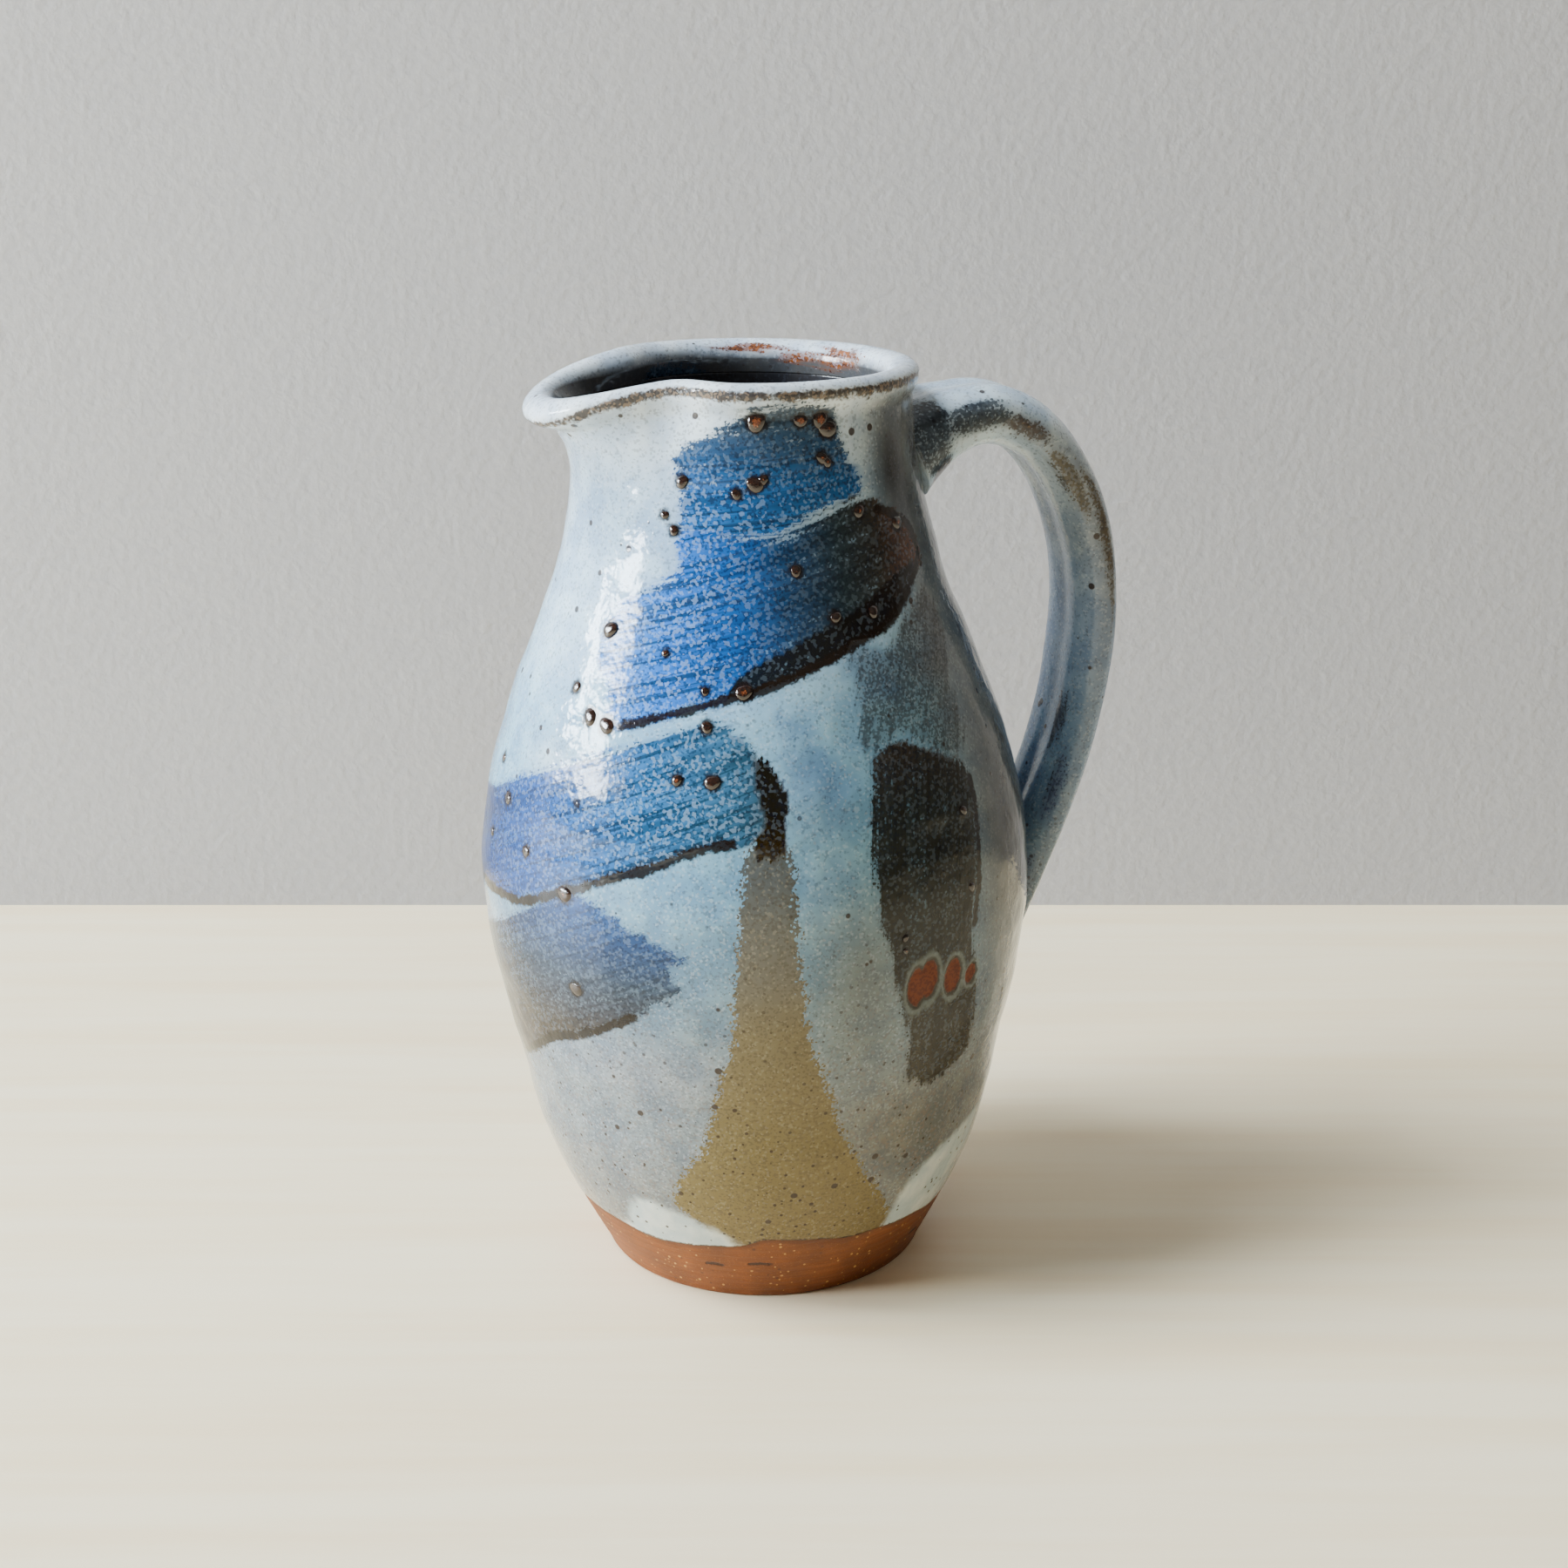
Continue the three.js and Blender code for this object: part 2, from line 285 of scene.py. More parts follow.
STROKES = [Stroke(*row) for row in (
    ([(-24, 199), (-20, 202), (-8, 205.5), (2, 209), (20, 210.5), (30, 208), (33, 201), (38, 194),
      (36, 190), (26, 189), (15, 186), (6, 183.5), (-20, 184), (-20, 192), (-23, 196)],
     6, "height",
     [(184, (38, 102, 174)), (192, (30, 88, 152)), (200, (28, 68, 110)), (207, (40, 62, 84))]),
    ([(6, 182.5), (15, 184), (25, 187), (35, 189.5), (42, 189), (50, 186), (58, 183), (62, 178),
      (60, 174), (52, 169), (45, 165), (35, 162), (25, 159.5), (10, 154.5), (0, 152), (-10, 149.5),
      (-20, 147), (-30, 143.5), (-34, 144), (-36, 150), (-41, 155), (-43, 161), (-39, 165.5), (-34, 170),
      (-25, 173), (-20, 176), (-20, 184)],
     15, "turn",
     [(-40, (58, 128, 206)), (-22, (30, 104, 196)), (-4, (18, 82, 160)), (10, (20, 60, 104)),
      (28, (32, 46, 54)), (42, (44, 37, 29)), (52, (66, 38, 20)), (62, (78, 42, 19))]),
    ([(-97, 113), (-80, 119), (-72, 121), (-60, 127), (-50, 131), (-40, 135), (-30, 139), (-20, 142.5),
      (-10, 145), (-2, 143), (2, 138), (5, 134), (6, 129), (6, 124), (0, 121.5), (-10, 120.5),
      (-20, 116), (-30, 111.5), (-40, 107), (-50, 102), (-56, 100), (-72, 98), (-92, 96), (-101, 104)],
     21, "turn",
     [(-97, (6, 46, 96)), (-72, (5, 50, 112)), (-50, (16, 76, 150)), (-25, (42, 102, 160)),
      (-5, (56, 104, 142)), (4, (44, 70, 82))]),
    ([(-93, 78), (-80, 85), (-60, 94), (-50, 100), (-40, 106), (-33, 106), (-27, 103), (-20, 99),
      (-13, 96), (-17, 93), (-14, 88), (-20, 84), (-24, 81), (-30, 77.5), (-40, 72), (-50, 68),
      (-60, 61), (-80, 52), (-95, 52), (-103, 64)],
     25, "height",
     [(56, (64, 45, 30)), (72, (60, 50, 40)), (88, (48, 62, 80)), (104, (26, 72, 132))],
     0.95),
    ([(27, 136), (30, 139), (35, 140), (40, 138), (48, 135), (53, 130), (54, 125), (53, 120), (51, 110),
      (50, 105), (48, 95), (49, 88), (51, 80), (52, 70), (52, 64), (46, 60), (40, 59), (34, 62),
      (33, 65), (33, 72), (31, 78), (29, 85), (27, 95), (25, 105), (24, 115), (25, 125)],
     88, "height",
     [(60, (50, 42, 20)), (78, (38, 31, 13)), (92, (33, 28, 14)), (108, (33, 31, 20)),
      (126, (34, 33, 27)), (138, (50, 41, 33))]),
    ([(1, 139), (5, 136), (8, 131), (6.5, 120), (0.5, 120), (2, 126), (0, 131)],
     80, "height", [(120, (44, 32, 6)), (128, OLIVE_BLACK), (138, (22, 20, 12))], 1.6),
    ([(-4, 151), (8, 153.2), (20, 157), (38, 162.2), (50, 167.4), (57, 174), (45, 173.5), (34, 170),
      (22, 166.5), (8, 161.5), (-2, 157)],
     16, "turn", [(0, (16, 24, 32)), (20, (18, 19, 18)), (56, (28, 16, 8))], 1.12),
    ([(5, 147), (12, 145), (17, 138), (19, 131), (24, 126), (15, 122.5), (7, 121), (8, 131)],
     30, "height", [(122, (104, 132, 158)), (146, (84, 124, 176))], 0.32),
    ([(26, 138), (26, 150), (28, 160), (38, 158), (46, 163), (60, 168), (64, 160), (58, 150), (56, 138),
      (48, 134), (36, 141)],
     74, "height", [(136, (44, 44, 46)), (150, (46, 46, 50)), (162, (50, 40, 34))], 0.6),
)]

# Where the brush crossed an edge and the pigment ran thick: lines with their width in mm.
EDGE_LINES = [
    ([(-31, 143.3), (-20, 146.6), (-10, 149.3), (0, 151.8), (10, 154.3), (25, 159.2), (35, 161.7),
      (44, 164.4), (52, 168.6)], 0.85),
    ([(-92, 96.5), (-72, 98), (-56, 100), (-50, 101.8), (-40, 106.6), (-30, 111.2), (-20, 115.7),
      (-10, 120.2), (-4, 121.5)], 0.95),
    ([(-92, 52), (-80, 52), (-60, 61), (-50, 67.6), (-40, 71.8), (-30, 77.2), (-25, 80.5)], 0.95),
    ([(44, 186.8), (52, 185), (59, 182), (61.5, 178), (60, 174), (54, 170)], 0.8),
    ([(53.6, 128), (53.5, 121), (51.5, 110), (50.5, 104), (48.8, 96)], 0.7),
]

KHAKI = Stroke(
    [(-1, 120), (-3, 100), (-4, 90), (-5, 75), (-8, 65), (-11, 53), (-14, 45), (-19, 38), (-22, 30),
     (-16, 24), (-6, 16), (10, 14), (30, 13), (36, 19), (36, 24), (31, 31), (26, 38), (22, 45), (18, 52),
     (15, 63), (12, 72), (10, 80), (9, 90), (8, 105), (7, 120)],
    90, "height",
    [(16, (112, 94, 46)), (50, (114, 98, 52)), (78, (112, 98, 62)), (92, (100, 92, 74)),
     (118, (78, 78, 74))],
)

WHITE_PATCHES = [
    [(-44, 12), (-40, 20), (-36, 27), (-30, 29), (-20, 27), (-14, 24), (-8, 20), (-5, 12)],
    [(33, 10), (36, 18), (38, 27), (42, 33), (50, 37.5), (60, 40), (75, 42), (95, 38), (104, 26),
     (104, 10)],
]

BARE_OVALS = [  # middle turn and height, and half sizes in mm
    (33.4, 85.4, 2.5, 4.6),
    (36.4, 86.6, 2.4, 4.5),
    (43, 85.3, 2.6, 4.2),
    (48.8, 84, 1.9, 2.3),
]

GLAZE_LINE_POINTS = [
    (-180, 17), (-140, 18.6), (-100, 16.6), (-50, 17.5), (-40, 17), (-30, 15.4), (-20, 16.5),
    (-10, 17.5), (-5, 18.5), (0, 20), (10, 19.5), (20, 18.5), (30, 18), (40, 17.5), (60, 17),
    (100, 18.2), (140, 15.8), (180, 17),
]

# Iron blisters in the glaze, as (turn, height, radius in mm).
FRONT_BLISTERS = [
    (3.5, 206.6, 1.9), (18.5, 208, 1.3), (25.5, 207, 1.7), (28, 205.4, 1.9), (3.2, 194.5, 1.6),
    (5.6, 194.9, 1.0), (-21, 194, 1.3), (-3.5, 192.2, 1.0), (25, 198.6, 1.2), (27, 198.3, 1.0),
    (-26, 186.6, 0.9), (-23, 184, 1.0), (37, 187.5, 1.3), (53, 183, 1.5), (14, 176.3, 1.1),
    (24.5, 166.5, 1.1), (36, 166, 1.2), (-40, 162.3, 1.7), (-22, 159.5, 0.7), (-47, 149, 1.2),
    (-40.4, 143.9, 1.8), (-34.6, 143.2, 1.8), (-1.5, 152.5, 1.6), (-11, 152, 0.8),
    (-10, 144.7, 1.2), (-16, 134, 1.1), (-8.5, 134, 1.5), (-63, 121.5, 1.4), (-70, 111.5, 0.9),
    (-52.5, 112.5, 1.2), (-39, 126, 0.7), (-40, 106.5, 1.9), (-38.5, 84.5, 1.7),
    (30, 98, 0.7), (30, 95.5, 0.6), (48, 105, 1.0), (49, 122, 1.0), (-71, 128, 1.0),
]

# The same brush work carries on round the side away from the camera: (shift, mirrored).
AS_PAINTED = (0, False)
PASSES = {
    "strokes": [
        (AS_PAINTED, STROKES, EDGE_LINES),
        ((200, False), STROKES[:4], EDGE_LINES[:4]),
        ((222, True), STROKES[4:5], []),
    ],
    "khaki": [AS_PAINTED, (172, False)],
    "white": [AS_PAINTED, (214, True)],
}


def ground_colour(turn, height):
    """The glaze where nothing was painted on it: blue-white above, grey and warmer below, with painted
    shade on the side away from the window and a painted highlight on its left.
    """
    stops = [
        (16, (136, 134, 124)), (40, (130, 136, 138)), (66, (132, 146, 154)), (92, (116, 148, 168)),
        (120, (124, 172, 200)), (145, (144, 190, 218)), (165, (170, 206, 234)),
        (185, (170, 200, 226)), (212, (222, 232, 238)),
    ]
    colour = colour_along(stops, height)
    near = turned_near(turn, 0)
    # Painted shade: the side turned away from the window, right of the front, is washed darker grey
    # above the foot.
    shaded = smooth(near, 34, 62) * (1 - smooth(near, 108, 140))
    colour = wash(colour, (124, 124, 126), 0.75 * shaded * smooth(height, 50, 110))
    spots = [
        # turn, height, half sizes, colour and strength of a soft wash
        # Painted highlight: the first wash stands in for the window's shine on the left of the shoulder.
        (-58, 160, 18, 14, (196, 226, 246), 0.8),
        (-52, 187, 17, 11, (142, 170, 192), 0.75),
        (-48, 132, 10, 6, (196, 214, 228), 0.6),
        (-66, 90, 12, 5, (176, 200, 218), 0.6),
        (14, 133, 8, 9, (92, 132, 172), 0.55),
        (36, 150, 9, 8, (104, 128, 158), 0.5),
        (52, 153, 9, 4, (104, 92, 84), 0.45),
        (14, 112, 8, 16, (146, 182, 204), 0.6),
        (-24, 66, 22, 9, (150, 154, 160), 0.6),
        # Painted shade and dark reflection: the next four washes darken a band down the right-hand side,
        # near the silhouette.
        (55, 195, 13, 18, (34, 32, 28), 1.0),
        (70, 186, 14, 22, (52, 52, 56), 0.9),
        (80, 166, 14, 26, (66, 70, 80), 0.8),
        (68, 112, 17, 42, (66, 60, 52), 0.95),
        # Painted shade: these two washes darken the lower right, which faces away from the window.
        (22, 88, 11, 24, (112, 112, 104), 0.75),
        (38, 48, 26, 18, (106, 98, 80), 0.8),
        (205, 128, 26, 22, (126, 160, 190), 0.5),
        (150, 190, 22, 12, (176, 192, 208), 0.5),
        (-100, 186, 24, 14, (206, 218, 226), 0.5),
    ]
    for at, up, wide, high, tint, strength in spots:
        away = np.hypot((turned_near(turn, at) - at) / wide, (height - up) / high)
        colour = wash(colour, tint, strength * hump(away, 1))
    return colour


NOTHING = -30.0  # a signed distance that is nowhere near an edge

PLAIN_LAYERS = {  # what the glaze's material reads where nothing is painted
    "ground": linear((150, 150, 150)),
    "pigment": linear(COBALT),
    "khaki": linear(KHAKI.stops[0][1]),
    "stroke": (0, 0, NOTHING),
    "under": (NOTHING,) * 3,
    "marks": (-NOTHING,) * 3,
}


def plain_layer(name, shape):
    plain = PLAIN_LAYERS[name]
    return np.broadcast_to(plain, (*shape, len(plain))).astype(float)


def put_layers(piece, **layers):
    """Stores the layers for a piece's first vertices; the rest, and layers not given, are plain."""
    for name, plain in PLAIN_LAYERS.items():
        given = np.reshape(layers.get(name, []), (-1, len(plain)))
        rest = plain_layer(name, (len(piece.data.vertices) - len(given),))
        put_attribute(piece, name, np.concatenate([given, rest]))


class Decoration:
    """Everything painted on the outside, sampled at the vertices of the outer coat."""

    def __init__(self, turn, height, degree):
        self.turn, self.height, self.degree = turn, height, degree
        self.ground = ground_colour(turn, height)
        self.pigment = plain_layer("pigment", turn.shape)
        self.khaki = colour_along(KHAKI.stops, height)
        self.stroke = plain_layer("stroke", turn.shape)  # along and across the pull, depth inside
        self.under = plain_layer("under", turn.shape)  # depth inside khaki, white and bare clay
        self.marks = plain_layer("marks", turn.shape)  # from thick edges, blisters and thin glaze
        for place, strokes, lines in PASSES["strokes"]:
            for stroke in strokes:
                self.paint(stroke, place)
            for line, width in lines:
                self.mark_line(line, width, place)
        for place in PASSES["khaki"]:
            self.lay_under(0, self.inside(KHAKI.outline, place)[1])
        for place in PASSES["white"]:
            for outline in WHITE_PATCHES:
                self.lay_under(1, self.inside(outline, place)[1])
        for at, up, wide, high in BARE_OVALS:
            x, y = self.offset(at, up)
            self.lay_under(2, (1 - np.hypot(x / wide, y / high)) * wide)

    def own_turn(self, outline, place):
        """The turns as an outline sees them once it is shifted round the pot, or mirrored."""
        shift, flip = place
        middle = np.mean([turn for turn, _ in outline])
        return turned_near(shift - self.turn if flip else self.turn - shift, middle)

    def offset(self, at, up):
        """Millimetres to the right of a spot and above it."""
        return turned_near(self.turn - at, 0) * self.degree, self.height - up

    def inside(self, outline, place):
        """An outline's own turns, and how deep inside it each vertex is."""
        own = self.own_turn(outline, place)
        distance, inside = distance_to(rounded(outline), own, self.height, self.degree, True)
        return own, np.where(inside, distance, -distance)

    def paint(self, stroke, place):
        own, signed = self.inside(stroke.outline, place)
        colour = colour_along(stroke.stops, own if stroke.by == "turn" else self.height)
        colour[..., 3] = stroke.weight
        x, y, slope = own * self.degree, self.height, math.radians(stroke.slope)
        before = self.stroke[..., 2]
        over = (signed > np.maximum(before * 0.5 - 1, -4)) | (signed > before)
        self.pigment[over] = colour[over]
        self.stroke[over, 0] = (x * math.cos(slope) + y * math.sin(slope))[over]
        self.stroke[over, 1] = (y * math.cos(slope) - x * math.sin(slope))[over]
        self.stroke[..., 2] = np.maximum(before, signed)

    def mark_line(self, line, width, place):
        own = self.own_turn(line, place)
        distance, _ = distance_to(rounded(line, False), own, self.height, self.degree, False)
        self.marks[..., 0] = np.minimum(self.marks[..., 0], distance / width)

    def lay_under(self, channel, signed):
        self.under[..., channel] = np.maximum(self.under[..., channel], signed)

    def mark_blister(self, at, up, radius):
        away = np.hypot(*self.offset(at, up)) - radius
        self.marks[..., 1] = np.minimum(self.marks[..., 1], away)


# ---- Materials -------------------------------------------------------


class Nodes:
    """A material's node tree, with short names for the nodes that are used again and again."""

    def __init__(self, name):
        self.material = bpy.data.materials.new(name)
        self.material.use_nodes = True
        self.tree = self.material.node_tree
        self.shader = self.tree.nodes["Principled BSDF"]
        self.output = self.tree.nodes["Material Output"]
        self.place = self.new("ShaderNodeTexCoord").outputs["Object"]

    def new(self, kind, inputs=(), **settings):
        node = self.tree.nodes.new(kind)
        for key, value in settings.items():
            setattr(node, key, value)
        for key, value in dict(inputs).items():
            self.plug(node.inputs[key], value)
        return node

    def plug(self, socket, value):
        if isinstance(value, bpy.types.NodeSocket):
            self.tree.links.new(value, socket)
        else:
            socket.default_value = value

    def math(self, operation, a, b=0.0, clamp=False):
        node = self.new("ShaderNodeMath", {0: a, 1: b}, operation=operation, use_clamp=clamp)
        return node.outputs[0]

    def add(self, *terms):
        total = terms[0]
        for term in terms[1:]:
            total = self.math("ADD", total, term)
        return total

    def times(self, a, b):
        return self.math("MULTIPLY", a, b)

    def step(self, value, low, high):
        """0 below low and 1 above high, or the other way round, smooth in between."""
        ends = (0.0, 1.0) if low < high else (1.0, 0.0)
        inputs = {"Value": value, "From Min": min(low, high), "From Max": max(low, high),
                  "To Min": ends[0], "To Max": ends[1]}
        return self.new("ShaderNodeMapRange", inputs, interpolation_type="SMOOTHSTEP").outputs[0]

    def swing(self, value, size):
        """A texture's 0 to 1 as a push of plus or minus half of size."""
        return self.times(self.math("SUBTRACT", value, 0.5), size)

    def mix(self, share, a, b, blend="MIX"):
        """Two colours mixed, each of them a socket or a colour as seen on a screen."""
        a, b = [linear(c) if isinstance(c, tuple) else c for c in (a, b)]
        node = self.new("ShaderNodeMix", {0: share, 6: a, 7: b}, data_type="RGBA", blend_type=blend)
        return node.outputs[2]

    def between(self, value, low, high, first, second):
        """The first colour where value is below low, the second where it is above high."""
        return self.mix(self.step(value, low, high), first, second)

    def tint(self, colour, where, strength, paint):
        """A colour with some paint laid over it where where is 1."""
        return self.mix(self.times(where, strength), colour, paint)

    def brightness(self, colour):
        return self.new("ShaderNodeRGBToBW", {0: colour}).outputs[0]

    def noise(self, size, detail=2.0, roughness=0.5, place=None):
        """Noise whose lumps are about size millimetres across."""
        inputs = {"Vector": place or self.place, "Scale": 1 / (size * MM), "Detail": detail,
                  "Roughness": roughness}
        return self.new("ShaderNodeTexNoise", inputs).outputs["Fac"]

    def scaled(self, place, factors):
        inputs = {0: place, 1: factors}
        return self.new("ShaderNodeVectorMath", inputs, operation="MULTIPLY").outputs[0]

    def streaks(self, place, long, wide, detail=2.0):
        """Noise drawn out along the first axis of a place in millimetres."""
        stretched = self.scaled(place, (1 / long, 1 / wide, 0.0))
        inputs = {"Vector": stretched, "Scale": 1.0, "Detail": detail}
        return self.new("ShaderNodeTexNoise", inputs).outputs["Fac"]

    def cells(self, size):
        """Cells about size millimetres across: the distance to each centre, three random numbers."""
        inputs = {"Vector": self.place, "Scale": 1 / (size * MM), "Randomness": 1.0}
        voronoi = self.new("ShaderNodeTexVoronoi", inputs, feature="F1")
        numbers = self.new("ShaderNodeSeparateColor", {0: voronoi.outputs["Color"]}).outputs
        return voronoi.outputs["Distance"], numbers

    def below(self, value, limit):
        """1 where value is below limit, 0 where it is above."""
        return self.step(self.math("SUBTRACT", limit, value), -0.02, 0.02)

    def specks(self, spacing, size, spread=0.5):
        """1 inside scattered specks of about size millimetres, 0 elsewhere."""
        distance, numbers = self.cells(spacing)
        radius = self.times(self.step(numbers[0], 1 - spread, 1.0), size / spacing / 2)
        return self.step(self.math("SUBTRACT", radius, distance), -0.03, 0.03)

    def attribute(self, name, output="Vector"):
        return self.new("ShaderNodeAttribute", attribute_name=name).outputs[output]

    def split(self, vector):
        return self.new("ShaderNodeSeparateXYZ", {0: vector}).outputs

    def bump(self, height, depth, normal=None):
        """Relief whose height of 1 stands depth millimetres proud."""
        node = self.new("ShaderNodeBump", {"Height": height, "Strength": 1.0, "Distance": depth * MM})
        if normal:
            self.plug(node.inputs["Normal"], normal)
        return node.outputs[0]

    def finish(self, colour, roughness, normal, **constants):
        self.plug(self.shader.inputs["Base Color"], colour)
        self.plug(self.shader.inputs["Roughness"], roughness)
        self.plug(self.shader.inputs["Normal"], normal)
        for key, value in constants.items():
            self.shader.inputs[key.replace("_", " ")].default_value = value
        return self.material


def glaze_material(name, gloss=0.1):
    """Pale stoneware glaze over brushed oxides; reads the layers that put_layers stores."""
    n = Nodes(name)
    crystal, kind, second = n.cells(0.5)[1]
    coarse, coarse_kind, _ = n.cells(0.66)[1]
    scatter = n.times(n.add(crystal, second), 0.5)
    soft = n.noise(1.3, 2, 0.6)
    cloud = n.noise(9, 3, 0.55)
    wander = n.noise(4, 2)
    pull = n.attribute("stroke")
    signed = n.split(pull)[2]
    bristle = n.streaks(pull, 34, 1.5, 2)
    sweep = n.streaks(pull, 70, 5.5, 1)
    hair = n.step(n.streaks(pull, 50, 0.9, 1), 0.5, 0.66)
    tracks = n.step(bristle, 0.36, 0.64)
    loaded = n.step(sweep, 0.36, 0.64)
    khaki_in, white_in, bare_in = n.split(n.attribute("under"))
    thick, blister, thin = n.split(n.attribute("marks"))
    low = n.step(n.split(n.place)[2], 0.125, 0.03)

    # The glaze itself: pale crystals in a darker, bluer glass, with more iron in it low down.
    ground = n.attribute("ground", "Color")
    glass = n.between(cloud, 0.35, 0.68, (196, 206, 220), (255, 255, 252))
    colour = n.mix(0.75, ground, glass, "MULTIPLY")
    darker = n.add(0.16, n.times(low, 0.16), n.swing(soft, 0.5))
    colour = n.tint(colour, n.below(crystal, darker), 0.34, (70, 74, 84))
    bright = n.times(n.step(n.brightness(ground), 0.02, 0.3), 0.15)
    colour = n.tint(colour, n.below(kind, 0.14), bright, (226, 234, 240))
    colour = n.tint(colour, n.times(n.below(coarse, 0.2), low), 0.3, (128, 104, 84))

    # Khaki slip under the glaze, its edges scattered.
    reach = n.step(n.add(khaki_in, n.swing(wander, 3.0)), -2.4, 2.4)
    in_khaki = n.below(scatter, reach)
    khaki = n.tint(n.attribute("khaki", "Color"), n.below(crystal, 0.3), 0.4, (70, 58, 36))
    khaki = n.tint(khaki, n.below(kind, 0.12), 0.14, (186, 172, 136))
    colour = n.mix(n.times(in_khaki, 0.92), colour, khaki)

    # White glaze that pooled above the foot.
    white_edge = n.add(white_in, n.swing(wander, 3.0), n.swing(soft, 1.6))
    white = n.between(cloud, 0.4, 0.65, (184, 197, 196), (212, 218, 210))
    colour = n.mix(n.times(n.step(white_edge, -1.4, 1.8), 0.85), colour, white)

    # Iron specks, more of them low down.
    many = n.times(n.specks(1.9, 0.85, 0.9), n.add(0.35, n.times(low, 0.65)))
    specks = n.math("MAXIMUM", many, n.specks(4.6, 1.7, 0.6))
    colour = n.tint(colour, specks, 0.9, (48, 32, 22))

    # Brushed oxide: a film with bristle tracks, and crystals that scatter at its edges.
    pigment = n.attribute("pigment", "Color")
    weight = n.attribute("pigment", "Alpha")
    reach = n.step(n.add(signed, n.swing(bristle, 4.5), n.swing(wander, 2.0)), -1.5, 1.6)
    body = n.times(weight, n.add(0.74, n.times(loaded, 0.18), n.times(tracks, 0.2)))
    cover = n.math("MULTIPLY", reach, body, clamp=True)
    scattered = n.below(scatter, cover)
    blue = n.step(n.brightness(pigment), 0.02, 0.13)
    drag = n.math("MAXIMUM", n.times(n.times(loaded, tracks), 0.7), n.times(hair, 0.85))
    furrow = n.times(drag, n.add(0.4, n.times(blue, 0.55)))
    deep = n.mix(furrow, pigment, (96, 84, 72), "MULTIPLY")
    deep = n.tint(deep, n.below(kind, 0.3), 0.62, (8, 14, 30))
    milky = n.mix(0.42, pigment, (186, 214, 240))
    pale = n.times(n.below(coarse_kind, 0.26), n.add(0.14, n.times(blue, 0.36)))
    deep = n.mix(pale, deep, milky)
    film = n.tint(pigment, drag, 0.4, (20, 18, 22))
    colour = n.mix(n.times(cover, 0.88), colour, film)
    solid = n.times(scattered, n.math("MULTIPLY", weight, 0.88, clamp=True))
    colour = n.mix(solid, colour, deep)

    # Pigment banked up along the strokes' edges.
    bank = n.add(thick, n.swing(soft, 1.6), n.swing(wander, 1.8), n.times(kind, 0.5))
    colour = n.tint(colour, n.step(bank, 1.9, 1.0), 0.96, (27, 18, 11))

    # Stains round the iron blisters.
    stain = n.add(blister, n.swing(soft, 1.6), n.times(kind, 0.3))
    colour = n.tint(colour, n.step(stain, 1.3, 0.2), 0.9, (26, 20, 20))

    # Glaze run thin over an edge breaks to brown.
    broken = n.add(thin, n.swing(wander, 1.4), n.swing(soft, 1.2), n.times(kind, 0.4))
    brown = n.mix(n.below(crystal, 0.65), (112, 90, 66), (44, 29, 18))
    colour = n.mix(n.times(n.step(broken, 1.5, 0.8), 0.92), colour, brown)

    # Ovals left bare, with a dark rim and a pale halo.
    bare_edge = n.add(bare_in, n.swing(soft, 0.9))
    colour = n.tint(colour, n.step(bare_edge, -1.7, -0.8), 0.4, (128, 140, 136))
    colour = n.tint(colour, n.step(bare_edge, -0.75, -0.3), 0.9, (40, 31, 20))
    clay = n.mix(n.below(crystal, 0.45), (106, 50, 24), (82, 36, 17))
    in_bare = n.step(bare_edge, -0.15, 0.15)
    colour = n.mix(in_bare, colour, clay)

    rough = n.add(gloss, n.times(in_khaki, 0.12), n.times(in_bare, 0.5), n.swing(cloud, 0.08),
                  n.times(scattered, 0.06))
    relief = n.add(n.times(soft, 0.5), n.times(specks, 0.7), n.times(cover, n.times(bristle, 0.8)))
    normal = n.bump(relief, 0.06, n.bump(cloud, 0.5))
    return n.finish(colour, rough, normal, IOR=1.47, Specular_IOR_Level=0.36)


def clay_material():
    """Iron-rich stoneware left bare: fine grog, ochre flecks, turning marks, drying cracks, and a darker
    band under the glaze's edge that is partly its fringe and partly painted shadow.
    """
    n = Nodes("bare_clay")
    grain = n.noise(0.5, 3, 0.6)
    cloud = n.noise(9, 3)
    turning = n.noise(1.2, 2, 0.5, n.scaled(n.place, (0.12, 0.12, 1.6)))
    colour = n.between(cloud, 0.3, 0.7, (106, 56, 17), (130, 71, 25))
    colour = n.tint(colour, n.step(turning, 0.42, 0.6), 0.4, (100, 52, 24))
    colour = n.tint(colour, n.step(grain, 0.55, 0.7), 0.4, (164, 104, 58))
    colour = n.tint(colour, n.specks(1.7, 0.75, 0.8), 0.75, (206, 156, 84))
    colour = n.tint(colour, n.specks(2.3, 0.9, 0.6), 0.7, (70, 40, 24))
    crack, shadow, _ = n.split(n.attribute("clay_marks"))
    cracked = n.step(n.add(crack, n.swing(grain, 0.8)), 1.1, 0.5)
    colour = n.tint(colour, cracked, 0.9, (44, 22, 12))
    # Partly painted shadow: the clay darkens in a band just under the glaze's edge, which is also its
    # fringe.
    fringe_and_shadow = n.add(shadow, n.swing(cloud, 1.0), n.swing(grain, 0.6))
    colour = n.tint(colour, n.step(fringe_and_shadow, 1.6, 0.2), 0.5, (84, 48, 30))
    rough = n.add(0.62, n.swing(grain, 0.2), n.swing(cloud, 0.1))
    relief = n.add(n.times(grain, 0.6), n.times(turning, 0.8), n.times(cracked, -1.5))
    return n.finish(colour, rough, n.bump(relief, 0.12), IOR=1.45)


